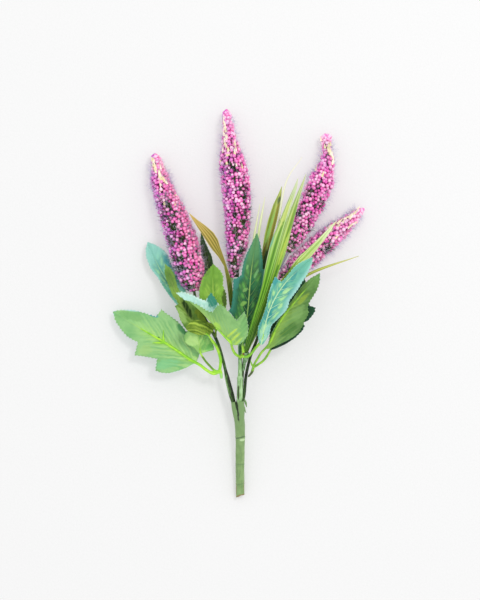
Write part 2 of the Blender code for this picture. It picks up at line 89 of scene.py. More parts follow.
class Finish:
    """A material with one shader, and short ways to add the nodes that feed it."""

    def __init__(self, name, roughness, **settings):
        self.material = bpy.data.materials.new(name)
        self.material.use_nodes = True
        self.tree = self.material.node_tree
        self.shader = self.tree.nodes["Principled BSDF"]
        self.shader.inputs["Roughness"].default_value = roughness
        for socket, value in settings.items():
            self.shader.inputs[socket.replace("_", " ")].default_value = value

    def feed(self, socket, value):
        if isinstance(value, bpy.types.NodeSocket):
            self.tree.links.new(value, socket)
        elif isinstance(value, str):
            socket.default_value = tint(value)
        elif value is not None:
            socket.default_value = value

    def add(self, kind, *values, **settings):
        """Adds a node. The values feed its inputs in their order, and the settings are its own."""
        made = self.tree.nodes.new(kind)
        for name, value in settings.items():
            setattr(made, name, value)
        for socket, value in zip(made.inputs, values):
            self.feed(socket, value)
        return made

    def maths(self, operation, one, other=0.0):
        return self.add("ShaderNodeMath", one, other, operation=operation).outputs[0]

    def times(self, one, other):
        return self.maths("MULTIPLY", one, other)

    def plus(self, one, other):
        return self.maths("ADD", one, other)

    def mix(self, share, one, other):
        made = self.add("ShaderNodeMix", share, data_type="RGBA")
        self.feed(made.inputs[6], one)
        self.feed(made.inputs[7], other)
        return made.outputs[2]

    def steps(self, share, low, high, out_low=0.0, out_high=1.0):
        """Maps low..high to out_low..out_high, held at both ends."""
        values = (share, low, high, out_low, out_high)
        return self.add("ShaderNodeMapRange", *values, interpolation_type="SMOOTHSTEP").outputs[0]

    def noise(self, where, size, detail=2.0, roughness=0.5):
        """Cloudy noise, whose patches are about size millimetres wide."""
        made = self.add("ShaderNodeTexNoise")
        self.feed(made.inputs["Vector"], where)
        made.inputs["Scale"].default_value = 1 / (size * MM)
        made.inputs["Detail"].default_value = detail
        made.inputs["Roughness"].default_value = roughness
        return made.outputs[0]

    def here(self):
        return self.add("ShaderNodeTexCoord").outputs["Object"]

    def read(self, name):
        """Reads one of the mesh's own attributes, as a vector and its three parts."""
        made = self.add("ShaderNodeAttribute", attribute_name=name)
        parts = self.add("ShaderNodeSeparateXYZ", made.outputs["Vector"])
        return [made.outputs["Vector"]] + list(parts.outputs)

    def dab(self, colour, height, x, y, length, width, turn, code, strength):
        """Paints a soft oval over a colour. Its middle, half length and half width are in photo points."""
        spot = seen(x, y, height)
        oval = self.add("ShaderNodeMapping", self.here(), vector_type="TEXTURE")
        oval.inputs["Location"].default_value = (spot.x, spot.y, 0)
        oval.inputs["Rotation"].default_value = (0, 0, radians(turn))
        oval.inputs["Scale"].default_value = (length * POINT * MM, width * POINT * MM, TABLE_SIZE)
        away = self.add("ShaderNodeVectorMath", oval.outputs[0], operation="LENGTH").outputs["Value"]
        ragged = self.plus(away, self.noise(self.here(), 3.5, 3))
        return self.mix(self.steps(ragged, 1.1, 1.55, strength, 0), colour, code)

    def colour(self, value):
        self.feed(self.shader.inputs["Base Color"], value)

    def relief(self, height, depth):
        """A bump, depth millimetres deep between a height of 0 and 1."""
        made = self.add("ShaderNodeBump")
        made.inputs["Distance"].default_value = depth * MM
        self.feed(made.inputs["Height"], height)
        self.tree.links.new(made.outputs[0], self.shader.inputs["Normal"])


camera = bpy.data.objects.new("camera", bpy.data.cameras.new("camera"))
bpy.context.collection.objects.link(camera)
camera.location = place(0, 0, MIDDLE_HEIGHT) + UP * (EYE_HEIGHT - MIDDLE_HEIGHT) * MM
camera.data.sensor_width = FILM
camera.data.lens = FILM * (EYE_HEIGHT - MIDDLE_HEIGHT) / (POINT * PHOTO_HEIGHT)
bpy.context.scene.camera = camera

table_paint = Finish("table_paint", 0.9, Specular_IOR_Level=0.1, Emission_Color=(1, 1, 1, 1),
    Emission_Strength=0.35)
grain = table_paint.noise(table_paint.here(), 1.6, 3)
table_paint.colour(table_paint.mix(grain, "B6B6B6", "BEBEBE"))
table_paint.relief(grain, 0.12)
mesh = bmesh.new()
bmesh.ops.create_grid(mesh, x_segments=1, y_segments=1, size=TABLE_SIZE / 2)
table = make_object("table", mesh, [table_paint.material])

world = bpy.data.worlds.new("studio")
world.use_nodes = True
world.node_tree.nodes["Background"].inputs["Color"].default_value = (1, 1, 1, 1)
world.node_tree.nodes["Background"].inputs["Strength"].default_value = 1.0
bpy.context.scene.world = world
bpy.context.scene.view_settings.view_transform = "Standard"


def soft_light(name, where, size, power):
    """A square light that faces the middle of the spray."""
    light = bpy.data.lights.new(name, "AREA")
    light.size = size
    light.energy = power
    thing = bpy.data.objects.new(name, light)
    bpy.context.collection.objects.link(thing)
    thing.location = where
    thing.rotation_euler = (-Vector(where)).to_track_quat("-Z", "Y").to_euler()


soft_light("key_light", (0.7, 0.7, 1.8), 0.4, 11)


# The main stem is one moulded tube of sage-green plastic on a steel wire, cut off at a slant. It has faint
# rings from its mould, and its top splits into two sleeves that grip the left and the centre branch.
def blend(knots, share):
    """Reads a smooth curve through evenly spaced knots (numbers or vectors) at a share of its length."""
    spans = len(knots) - 1
    index = min(int(share * spans), spans - 1)
    t = share * spans - index
    p1, p2 = knots[index], knots[index + 1]
    p0 = knots[index - 1] if index else p1 + p1 - p2
    p3 = knots[index + 2] if index + 2 <= spans else p2 + p2 - p1
    bend = 2 * p0 - 5 * p1 + 4 * p2 - p3
    turn = 3 * p1 - p0 - 3 * p2 + p3
    return (2 * p1 + t * (p2 - p0) + t * t * bend + t * t * t * turn) * 0.5


def between(table, share):
    """Reads a table of (share, value) rows, straight from row to row."""
    for (s0, v0), (s1, v1) in zip(table, table[1:]):
        if share <= s1:
            return v0 + (v1 - v0) * (share - s0) / (s1 - s0)
    return table[-1][1]


class Spine:
    """The centre line of a long piece, with even shares of its length."""

    STEPS = 60

    def __init__(self, knots):
        self.points = [blend(knots, k / self.STEPS) for k in range(self.STEPS + 1)]
        self.reach = [0.0]
        for before, after in zip(self.points, self.points[1:]):
            self.reach.append(self.reach[-1] + (after - before).length)
        self.length = self.reach[-1]

    def at(self, share):
        goal = share * self.length
        for k in range(self.STEPS):
            if goal <= self.reach[k + 1] or k == self.STEPS - 1:
                part = (goal - self.reach[k]) / (self.reach[k + 1] - self.reach[k])
                return self.points[k].lerp(self.points[k + 1], part)

    def frame(self, share):
        """The place, the way ahead, the right-hand side and the front, which is the upper side."""
        step = 0.01
        ahead = (self.at(min(share + step, 1)) - self.at(max(share - step, 0))).normalized()
        front = (UP - ahead * UP.dot(ahead)).normalized()
        return self.at(share), ahead, ahead.cross(front), front


def tube(spine, radii, sides, steps, rim=None, slant=0.0):
    """A closed solid whose radius (mm) follows the table or function radii along its spine.

    rim(share, angle) may add to the radius, and a slant leans the first ring as a slanting cut does.
    """
    read = radii if callable(radii) else lambda share: between(radii, share)
    mesh = bmesh.new()
    outline = [(0, 0)] + [(k / steps, 1) for k in range(steps + 1)] + [(1, 0)]
    points = [mesh.verts.new((share, radius, 0)) for share, radius in outline]
    edges = [mesh.edges.new(pair) for pair in zip(points, points[1:])]
    bmesh.ops.spin(mesh, geom=points + edges, axis=(1, 0, 0), angle=2 * pi, steps=sides, use_merge=True)
    bmesh.ops.remove_doubles(mesh, verts=mesh.verts, dist=1e-5)
    bmesh.ops.recalc_face_normals(mesh, faces=mesh.faces)
    frames = {}
    for vertex in mesh.verts:
        share, aside, above = vertex.co
        if share not in frames:
            frames[share] = (*spine.frame(share), read(share))
        centre, ahead, side, front, radius = frames[share]
        if rim and (aside or above):
            radius += rim(share, Vector((aside, above)).angle_signed(Vector((0, 1))))
        lean = 0 if share else slant * aside * radius
        vertex.co = centre + (side * aside * radius + front * above * radius + ahead * lean) * MM
    if mesh.calc_volume(signed=True) < 0:
        bmesh.ops.reverse_faces(mesh, faces=mesh.faces)
    return mesh


def join(mesh, piece):
    """Adds a finished bmesh to another one, and frees it."""
    data = bpy.data.meshes.new("joined")
    piece.to_mesh(data)
    piece.free()
    mesh.from_mesh(data)
    bpy.data.meshes.remove(data)


STEM_PLACES = [(0.0, -166, 4.0), (0.1, -144, 6.6), (0.1, -119, 9.8), (-0.4, -104, 12.2), (-2.1, -91, 14.6)]
STEM_RADII = [(0.0, 3.6), (0.3, 3.75), (0.6, 3.95), (0.8, 4.4), (0.88, 4.5), (0.95, 3.6), (1.0, 2.6)]
STEM_RINGS = [(0.128, 0.16), (0.355, 0.16), (0.66, 0.35)]
RING_WIDTH = 0.008


def stem_radius(share):
    rings = sum(depth * max(0, 1 - abs(share - spot) / RING_WIDTH) for spot, depth in STEM_RINGS)
    return between(STEM_RADII, share) + rings


def stem_lumps(share, angle):
    """The mould's uneven walls: low ribs that wind slowly round the stem."""
    return 0.14 * sin(3 * angle + 9 * share) + 0.08 * sin(7 * angle - 31 * share)


stem_plastic = Finish("stem_plastic", 0.42)
where = stem_plastic.here()
cloud = stem_plastic.noise(where, 7, 3)
streak = stem_plastic.add("ShaderNodeMapping", where)
streak.inputs["Scale"].default_value = (5, 0.35, 5)
lines = stem_plastic.noise(streak.outputs[0], 6, 3)
height = stem_plastic.add("ShaderNodeSeparateXYZ", where).outputs[1]
sage = stem_plastic.mix(stem_plastic.steps(cloud, 0.3, 0.7), "6E9052", "88A66C")
sage = stem_plastic.mix(stem_plastic.steps(lines, 0.5, 0.75), sage, "658450")
sage = stem_plastic.mix(stem_plastic.steps(height, -0.13, -0.09), sage, "72945A")
# Painted shade in the cleft under the left branch, the mould's joint lines with a painted highlight under the
# upper one, and the brown stain by the cut.
STEM_MARKS_AND_PAINTED_LIGHT = [
    (237.2, 409, 14, 1.5, -82, "1C2C12", 1.0), (240.2, 437.2, 7, 1.0, 14, "4C6A40", 0.9),
    (242.4, 439.6, 3, 1.4, 10, "BCD8A4", 0.8), (240, 464.2, 6, 0.8, 0, "5F7F4E", 0.7),
    (240.3, 484.3, 6, 0.8, 14, "5F7F4E", 0.7), (240, 496.2, 8, 1.5, 16, "8A6E48", 0.8),
    (236.2, 490, 7, 0.6, 88, "8A6A44", 0.6), (244.1, 487, 7, 0.5, 88, "8A6A44", 0.6),
]
for values in STEM_MARKS_AND_PAINTED_LIGHT:
    sage = stem_plastic.dab(sage, STEM_PLACES[2][2], *values)
stem_plastic.colour(sage)
stem_plastic.relief(lines, 0.25)

stem_spine = Spine([place(*p) for p in STEM_PLACES])
mesh = tube(stem_spine, stem_radius, 40, 140, rim=stem_lumps, slant=0.5)
SLEEVES = [
    ([(-0.6, -106, 12.8), (-2.6, -99, 13.9), (-4.4, -92, 14.9), (-5.6, -86.5, 15.6)],
     [(0, 2.6), (0.4, 3.0), (0.8, 2.5), (1, 2.1)]),
    ([(0.4, -106, 13.6), (0.6, -98, 16.0), (0.9, -91, 17.6), (0.7, -86, 18.4)],
     [(0, 3.0), (0.5, 3.3), (0.85, 2.9), (1, 2.7)]),
    # Two slivers of flash that the mould left by the right branch.
    ([(3.4, -84, 15.4), (4.9, -87.5, 15.6), (5.6, -91, 15.2)], [(0, 0.7), (0.5, 1.0), (1, 0.3)]),
    ([(2.4, -88, 17.0), (3.6, -92, 16.4), (5.0, -96, 15.6)], [(0, 0.8), (0.5, 0.9), (1, 0.25)]),
]
for places, radii in SLEEVES:
    join(mesh, tube(Spine([place(*p) for p in places]), radii, 24, 30))
stem = make_object("stem_moulding", mesh, [stem_plastic.material])
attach(stem, "root")
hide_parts("main_stem")


# The wire in the main stem is plain steel, dull from the cutting pliers, and only its end shows at the cut.
wire_steel = Finish("wire_steel", 0.45, Metallic=0.9)
rust = wire_steel.noise(wire_steel.here(), 0.6, 4)
wire_steel.colour(wire_steel.mix(wire_steel.steps(rust, 0.4, 0.6), "7A6A58", "4A3626"))
wire_steel.relief(rust, 0.05)
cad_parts["stem_wire"].material_slots[0].material = wire_steel.material


# The four branch stems are moulded plastic rods. They leave the main stem side by side, run under the leaf
# whorls, and each one plugs into the core of its spike.
SPIKE_PLACES = {
    "left": [(-38.9, 7.6, 17.2), (-45.8, 38, 14.8), (-54.6, 66, 12.4), (-66.2, 96, 10.0), (-72, 123.5, 8.4)],
    "centre": [(-6.4, 19.6, 19.4), (-2.2, 55, 16.2), (-3.0, 90, 14.0), (-7.8, 126, 11.2),
               (-11.5, 161.5, 9.0)],
    "inner": [(40.8, 40.8, 17.0), (52.3, 63.8, 13.8), (64.0, 88, 12.1), (73.4, 115, 10.2), (73.2, 140, 8.2)],
    "right": [(33.8, 16.3, 17.0), (50, 30.5, 12.7), (68, 46, 11.1), (87, 62, 9.2), (104.6, 77, 6.6)],
}
STRAIGHT = 10
PLUG = 4
FLUTE_DEPTH = 0.09
BRANCHES = {
    "left": dict(
        places=[(-3.1, -101, 13.2), (-4.3, -92, 14.4), (-6.6, -83, 15.6), (-10.2, -69, 16.5),
                (-14.5, -51, 17.0), (-20.0, -34, 17.4), (-29.0, -17.5, 17.8)],
        radii=[(0.0, 1.2), (0.08, 1.5), (0.18, 2.3), (0.3, 2.1), (0.36, 1.4), (0.8, 1.25), (1.0, 1.2)],
        colours=("34541F", "55803A", "1C2E12"),
        # Its marks: a painted highlight along the rod's left side, painted shade along its right side and in
        # the cleft by the sleeve, and a dark teal patch higher up.
        marks=[(225.9, 381, 18, 0.8, -75, "7CA464", 0.9), (229.6, 381, 20, 1.3, -75, "121E0A", 0.95),
               (233.4, 398, 12, 1.6, -72, "1A2A10", 0.9), (215, 341, 12, 1.6, -72, "1E4A3C", 0.8)],
    ),
    "centre": dict(
        places=[(-1.2, -101, 15.2), (-2.0, -92, 16.8), (-0.3, -83, 18.0), (0.0, -66, 19.0), (0.0, -49, 19.4),
                (-0.8, -28, 19.6), (-2.4, -8, 20.2)],
        radii=[(0.0, 1.4), (0.08, 2.0), (0.15, 2.5), (0.265, 2.4), (0.28, 2.8), (0.295, 1.9), (0.45, 1.6),
               (1.0, 1.3)],
        colours=("88B072", "A4C896", "5E8C52"),
        # Its marks: painted shade in the cleft and along the rod's left side, a painted highlight along its
        # right side and on its ring, and a dark teal patch by the whorl.
        marks=[(236.9, 406, 9, 1.5, -82, "1C2C12", 1.0), (238.6, 393, 10, 0.9, 90, "33401C", 0.95),
               (236.8, 385, 14, 0.6, 90, "3C5C30", 0.8), (241.6, 388, 12, 0.6, 90, "B4D4A4", 0.8),
               (239.6, 350, 8, 1.3, 90, "2C6450", 0.9), (239.6, 376.8, 5, 0.9, 0, "A8CC98", 0.8)],
    ),
    "inner": dict(
        places=[(-1.2, -101, 11.2), (-2.0, -92, 12.0), (1.0, -80, 13.4), (2.6, -58, 14.4), (6.0, -36, 15.2),
                (14.6, -11, 16.0), (24.0, 12, 16.8)],
        radii=[(0.0, 1.2), (1.0, 1.2)],
        colours=("2C4A1C", "4E7430", "14260E"),
        marks=[(285.5, 256, 16, 4, 60, "A09CAC", 0.85)],
    ),
    "right": dict(
        places=[(0.9, -101, 13.2), (-0.1, -92, 14.4), (3.3, -82, 15.8), (5.2, -64, 16.8), (9.2, -47, 17.6),
                (15.2, -31, 18.2), (19.6, -10, 18.8)],
        radii=[(0.0, 1.2), (0.3, 1.3), (1.0, 1.2)],
        colours=("16280C", "2F4A1A", "0A1406"),
        marks=[(243.8, 393, 14, 1.3, 88, "3F5C2C", 0.9)],
    ),
}


def flutes(share, angle):
    """The four shallow flutes that wind round a rod."""
    return FLUTE_DEPTH * sin(4 * angle + 12 * share)


spike_spines = {name: Spine([place(*p) for p in places]) for name, places in SPIKE_PLACES.items()}
branch_spines = {}
for name, branch in BRANCHES.items():
    base, ahead, _, _ = spike_spines[name].frame(0)
    route = [place(*p) for p in branch["places"]]
    branch_spines[name] = Spine(route + [base - ahead * STRAIGHT * MM, base + ahead * PLUG * MM])
    body, shine, shade = branch["colours"]
    rod = Finish("branch_plastic_" + name, 0.42, Specular_IOR_Level=0.3)
    where = rod.here()
    patches = rod.noise(where, 5, 3)
    stretch = rod.add("ShaderNodeMapping", where)
    stretch.inputs["Scale"].default_value = (4, 0.5, 4)
    streaks = rod.noise(stretch.outputs[0], 4, 2)
    green = rod.mix(rod.steps(patches, 0.4, 0.68), body, shine)
    green = rod.mix(rod.steps(streaks, 0.5, 0.66), green, shade)
    for values in branch["marks"]:
        green = rod.dab(green, branch["places"][2][2], *values)
    rod.colour(green)
    rod.relief(streaks, 0.2)
    mesh = tube(branch_spines[name], branch["radii"], 20, 160, rim=flutes)
    piece = make_object("branch_rod_" + name, mesh, [rod.material])
    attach(piece, "root")
    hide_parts("branch_stem_" + name)


# The cores of the spikes are plastic rods with dark bristles, hidden under the beads but for the gaps.
core_green = Finish("core_green", 0.8)
twist = core_green.noise(core_green.here(), 0.8, 2)
core_green.colour(core_green.mix(twist, "14290F", "2C4A1E"))
core_green.relief(twist, 0.3)
for name in SPIKE_PLACES:
    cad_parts["spike_core_" + name].material_slots[0].material = core_green.material


# The pink of a spike is about a thousand foam beads, 2.6 to 3.7 mm wide, each glued on in uneven rows round
# a dark green brush. Lilac lint stands off it, and there are a few cream threads near its tip.
# Each spike: its radius in mm, how pale and warm its beads are and how much warmer at the right, how many
# bristles and short hairs it has, how often a bead has a second one under it, where its cream threads lie in
# a row, its width along its length as shares, and its gaps, as share, place aside and reach both ways.
SPIKES = {
    "left": dict(
        radius=13.7, seed=3, pale=0.45, bristles=460, warm=0.5, warmth=0.05, down=2300, filled=0.1,
        bracts=((0.96, -0.7), (0.76, 0.5)),
        widths=[(0, 0.35), (0.07, 0.8), (0.16, 1.0), (0.28, 1.06), (0.48, 0.98), (0.6, 0.87), (0.72, 0.77),
                (0.82, 0.68), (0.92, 0.46), (0.98, 0.36), (1, 0.24)],
        gaps=[(0.05, -0.75, 0.06, 0.5), (0.16, -0.8, 0.07, 0.5), (0.26, -0.7, 0.06, 0.5),
              (0.37, -0.6, 0.05, 0.45), (0.47, -0.35, 0.04, 0.45), (0.55, -0.6, 0.04, 0.35),
              (0.62, -0.05, 0.045, 0.35), (0.36, 0.1, 0.03, 0.25)],
    ),
    "centre": dict(
        radius=13.2, seed=5, pale=0.49, bristles=420, warm=0.25, warmth=-0.05, down=1600, filled=0.2,
        bracts=((0.95, -0.7), (0.7, -0.3)),
        widths=[(0, 0.22), (0.06, 0.42), (0.16, 0.74), (0.3, 0.88), (0.46, 0.98), (0.6, 1), (0.68, 0.92),
                (0.78, 0.64), (0.88, 0.46), (0.97, 0.36), (1, 0.24)],
        gaps=[(0.08, 0.0, 0.05, 0.7), (0.15, 0.6, 0.04, 0.4), (0.25, -0.1, 0.04, 0.4), (0.32, 0.5, 0.05, 0.4),
              (0.37, 0.7, 0.03, 0.3), (0.48, 0.6, 0.03, 0.3), (0.37, -0.1, 0.025, 0.25),
              (0.64, 0.0, 0.02, 0.25)],
    ),
    "inner": dict(
        radius=11.6, seed=7, pale=0.5, bristles=140, warm=0.1, warmth=0.0, down=500, filled=0.8,
        bracts=((0.9, 0.3), (0.76, 0.9)),
        widths=[(0, 0.28), (0.1, 0.68), (0.25, 0.88), (0.42, 1), (0.65, 1), (0.71, 0.76), (0.81, 0.58),
                (0.87, 0.42), (0.91, 0.4), (0.95, 0.48), (0.985, 0.44), (1, 0.2)],
        gaps=[(0.07, 0.3, 0.03, 0.4), (0.24, 0.75, 0.04, 0.3), (0.42, 0.65, 0.02, 0.2),
              (0.48, -0.5, 0.03, 0.25), (0.3, -0.6, 0.03, 0.25)],
    ),
    "right": dict(
        radius=11.4, seed=9, pale=0.56, bristles=140, warm=0.15, warmth=0.1, down=1400, filled=0.6,
        bracts=((0.93, -0.3), (0.6, -0.85)),
        widths=[(0, 0.29), (0.1, 0.7), (0.25, 0.93), (0.4, 1), (0.58, 0.96), (0.72, 0.82), (0.84, 0.62),
                (0.94, 0.42), (0.98, 0.34), (1, 0.2)],
        gaps=[(0.1, 0.0, 0.04, 0.5), (0.5, 0.8, 0.06, 0.4)],
    ),
}
BEAD_ROW = 2.6
BEAD_AROUND = 3.1
BEAD_RADIUS = (1.3, 1.85)
BEAD_FACE_PAINTED_LIGHT = 0.34
INNER_DEPTH = 1.9
TIP_FROM = 0.6
TIP_PALER = 0.25
BRUSH_DEPTH = 0.7
BRUSH_TIP = 0.4
MISSING = 0.06
IN_GAPS_MISSING = 0.9
TABLE_ROOM = 0.05
PATCH = 60


def skin(spike, share):
    """The radius of the beads' outer surface, in millimetres."""
    return spike["radius"] * between(spike["widths"], share)


def bare(spike, share, aside):
    """How bare the spike is there, from 0 to 1, where aside runs from -1 at its left to 1 at its right."""
    found = 0
    for spot, left, reach, width in spike["gaps"]:
        away = ((share - spot) / reach) ** 2 + ((aside - left) / width) ** 2
        found = max(found, 1 - away)
    return found


def bead_cover(spike, spine):
    """The beads. Their attribute holds how pale and how warm a pink each one is, with a painted highlight on
    its outer face, painted shade on its inner face, and painted shade on sunk beads and on the beads beneath.
    """
    draw = random.Random(spike["seed"])
    length = spine.length / MM
    mesh = bmesh.new()
    mesh.verts.layers.float_vector.new("pink")
    rows = int(length / BEAD_ROW)
    for row in range(rows + 1):
        ring = bmesh.new()
        pink = ring.verts.layers.float_vector.new("pink")
        share = min((row + 0.3) / rows, 0.985)
        tip = max(0, (share - TIP_FROM) / (1 - TIP_FROM))
        centre, ahead, side, front = spine.frame(share)
        out = max(skin(spike, share) - BEAD_RADIUS[1], 0.5)
        count = max(round(2 * pi * out / BEAD_AROUND), 3)
        for k in range(count):
            angle = 2 * pi * (k + 0.5 * (row % 2) + draw.uniform(-0.3, 0.3)) / count
            radius = draw.uniform(*BEAD_RADIUS)
            sunk = draw.choice((-0.4, 0, 0.3, 0.9, 1.8)) * min(1, out / 8)
            # A sunk bead is darker, as painted shade.
            pale = spike["pale"] + draw.uniform(-0.38, 0.38) * (1 - tip / 2) - 0.14 * sunk + TIP_PALER * tip
            warm = 0.5 + spike["warmth"] + spike["warm"] * cos(angle) + draw.uniform(-0.2, 0.2)
            slip = draw.uniform(-0.8, 0.8)
            missing = draw.random()
            if missing < MISSING + bare(spike, share,
                cos(angle)) * (IN_GAPS_MISSING if sin(angle) > -0.5 else 0):
                continue
            outward = side * cos(angle) + front * sin(angle)
            spot = centre + outward * (out - sunk) * MM + ahead * slip * MM
            spot.z = max(spot.z, (radius + TABLE_ROOM) * MM)
            made = bmesh.ops.create_uvsphere(
                ring, u_segments=8, v_segments=6, radius=radius * MM, matrix=Matrix.Translation(spot))
            for vertex in made["verts"]:
                # Each bead is paler on its outer face and darker on its inner face: a painted highlight and
                # painted shade.
                faced = (vertex.co - spot).normalized().dot(outward)
                vertex[pink] = (pale + BEAD_FACE_PAINTED_LIGHT * faced, warm, 0)
            if draw.random() > spike["filled"] + share:
                continue
            inner = centre + (spot - centre) * max(0, 1 - INNER_DEPTH / out) + ahead * BEAD_ROW / 2 * MM
            made = bmesh.ops.create_uvsphere(
                ring, u_segments=6, v_segments=4, radius=radius * MM, matrix=Matrix.Translation(inner))
            for vertex in made["verts"]:
                # A bead beneath the outer ones is darker, as painted shade between them.
                vertex[pink] = (pale - 0.55 + 0.5 * tip, warm, 0)
        join(mesh, ring)
    return mesh


def scatter(count, seed, shares, middle=0.0, spread=pi):
    """Random places on a spike, as a share of its length and an angle round it."""
    draw = random.Random(seed)
    return [(draw.uniform(*shares), middle + draw.uniform(-spread, spread)) for _ in range(count)]


def in_gaps(spike, count, seed):
    """Random places in each gap between the beads."""
    draw = random.Random(seed)
    spots = []
    for spot, left, reach, width in spike["gaps"]:
        for _ in range(count):
            aside = left + draw.uniform(-1, 1) * width
            spots.append((max(spot + draw.uniform(-1, 1) * reach, 0.01), acos(max(-1, min(1, aside)))))
    return spots


def in_row(start, end, count, seed):
    """Places beside a line over the spike's upper side, between two places as share and aside."""
    draw = random.Random(seed)
    spots = []
    for k in range(count):
        part = (k + draw.random()) / count
        aside = start[1] + (end[1] - start[1]) * part + draw.uniform(-0.2, 0.2)
        spots.append((start[0] + (end[0] - start[0]) * part, acos(max(-1, min(1, aside)))))
    return spots


def needles(spike, spine, spots, root, tip, width, seed, lean=0.3, spread=1.0, sides=3):
    """Thin cones that stand off the spike at the spots: from root of its radius to tip mm past it."""
    draw = random.Random(seed)
    mesh = bmesh.new()
    patch = bmesh.new()
    for number, (share, angle) in enumerate(spots):
        centre, ahead, side, front = spine.frame(share)
        out = skin(spike, share)
        reach = draw.uniform(*tip) + out * (1 - root)
        way = side * cos(angle) + front * sin(angle) + ahead * (lean + draw.uniform(-0.6, 0.6) * spread)
        way += side * draw.uniform(-0.4, 0.4) * spread
        way.normalize()
        start = centre + (side * cos(angle) + front * sin(angle)) * out * root * MM
        middle = start + way * reach * 0.5 * MM
        if min(start.z, (start + way * reach * MM).z) < width * MM:
            continue
        turn = way.to_track_quat("Z", "Y").to_matrix().to_4x4()
        bmesh.ops.create_cone(patch, cap_ends=True, segments=sides, radius1=width * MM,
            radius2=width * 0.15 * MM,
                              depth=reach * MM, matrix=Matrix.Translation(middle) @ turn)
        if number % PATCH == PATCH - 1:
            join(mesh, patch)
            patch = bmesh.new()
    join(mesh, patch)
    return mesh


bead_foam = Finish("bead_foam", 0.34, Specular_IOR_Level=0.5)
_, pale, warm, _ = bead_foam.read("pink")
mottle = bead_foam.noise(bead_foam.here(), 1.3, 3)
level = bead_foam.plus(pale, bead_foam.times(bead_foam.maths("SUBTRACT", mottle, 0.5), 0.7))
ramp = bead_foam.add("ShaderNodeValToRGB", level)
PINKS = [(0.0, "761A62"), (0.25, "CC3C9E"), (0.5, "F060BC"), (0.78, "FC94D2"), (1.0, "FFCEEA")]
for spot, code in PINKS[1:-1]:
    ramp.color_ramp.elements.new(spot)
for element, (spot, code) in zip(ramp.color_ramp.elements, PINKS):
    element.position = spot
    element.color = tint(code)
dye = bead_foam.mix(bead_foam.steps(warm, 0.5, 0.0, 0, 0.5), ramp.outputs[0], "B45CD0")
bead_foam.colour(bead_foam.mix(bead_foam.steps(warm, 0.5, 1.1, 0, 0.5), dye, "FF8EB2"))
bead_foam.relief(mottle, 0.1)

brush_green = Finish("brush_green", 0.75)
depth = brush_green.noise(brush_green.here(), 2.5, 3)
moss = brush_green.mix(brush_green.steps(depth, 0.35, 0.65), "0C1A08", "3A5C2C")
dry = brush_green.steps(brush_green.noise(brush_green.here(), 9, 2), 0.5, 0.62, 0, 0.8)
brush_green.colour(brush_green.mix(dry, moss, "5E5226"))
lint_grey = Finish("lint_grey", 0.9)
lint_cloud = lint_grey.noise(lint_grey.here(), 12, 2)
lint_grey.colour(lint_grey.mix(lint_grey.steps(lint_cloud, 0.35, 0.65), "AEAACB", "ECEAF4"))
thread_cream = Finish("thread_cream", 0.6)
thread_cloud = thread_cream.noise(thread_cream.here(), 5, 2)
thread_cream.colour(thread_cream.mix(thread_cream.steps(thread_cloud, 0.4, 0.6), "FFF4DC", "EADFAC"))

for name, spike in SPIKES.items():
    spine = spike_spines[name]
    seed = spike["seed"]
    beads = make_object("foam_beads_" + name, bead_cover(spike, spine), [bead_foam.material])
    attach(beads, "root")
    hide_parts("spike_beads_" + name)

    thin = [(0, BRUSH_DEPTH), (TIP_FROM, BRUSH_DEPTH), (1, BRUSH_TIP)]
    under = tube(spine, lambda share: skin(spike, share) * between(thin, share), 20, 70)
    bristles = scatter(spike["bristles"], seed + 1, (0.02, 0.8))
    join(under, needles(spike, spine, bristles, BRUSH_DEPTH, (-1.0, 1.2), 0.28, seed + 1))
    sprigs = in_gaps(spike, 26, seed + 4)
    join(under, needles(spike, spine, sprigs, 0.74, (0.5, 3.4), 0.42, seed + 4, lean=0.9, spread=1.5))
    brush = make_object("bristle_brush_" + name, under, [brush_green.material])
    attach(brush, "root")

    halo = scatter(1300, seed + 2, (0.0, 0.95))
    fuzz = needles(spike, spine, halo, 0.9, (2.5, 6.5), 0.11, seed + 2, lean=0.5, spread=1.6)
    down = scatter(spike["down"], seed + 5, (0.02, 0.96))
    join(fuzz, needles(spike, spine, down, 0.85, (0.0, 1.9), 0.17, seed + 5, lean=0.6, spread=2.2))
    lint = make_object("lint_" + name, fuzz, [lint_grey.material])
    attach(lint, "root")

    bracts = scatter(16, seed + 3, (0.6, 0.96)) + in_row(*spike["bracts"], 18, seed + 6)
    fine = needles(spike, spine, bracts, 0.8, (1.5, 3.5), 1.35, seed + 3, lean=7.0, sides=6)
    threads = make_object("cream_threads_" + name, fine, [thread_cream.material])
    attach(threads, "root")


# The leaves are cut from thin woven cloth, printed on the front and heat-pressed so that veins, quilting and
# saw teeth stand out. Each one is glued on a moulded stalk. Some of them show their paler, pleated backs.
CLOTH = 0.35
LEAF_COLUMNS = 26
ROW_STEP = 0.75
VEIN_LEAN = 0.75
TOOTH = 3.0
VEIN_SWEEP = 0.45
VEIN_BEND = 0.045
QUILT = 0.55
CREASE = 0.5
CREASE_WIDTH = 1.6
RIPPLE = 0.5
RIPPLE_LENGTH = 5.1
THREAD_TURNS = 1570
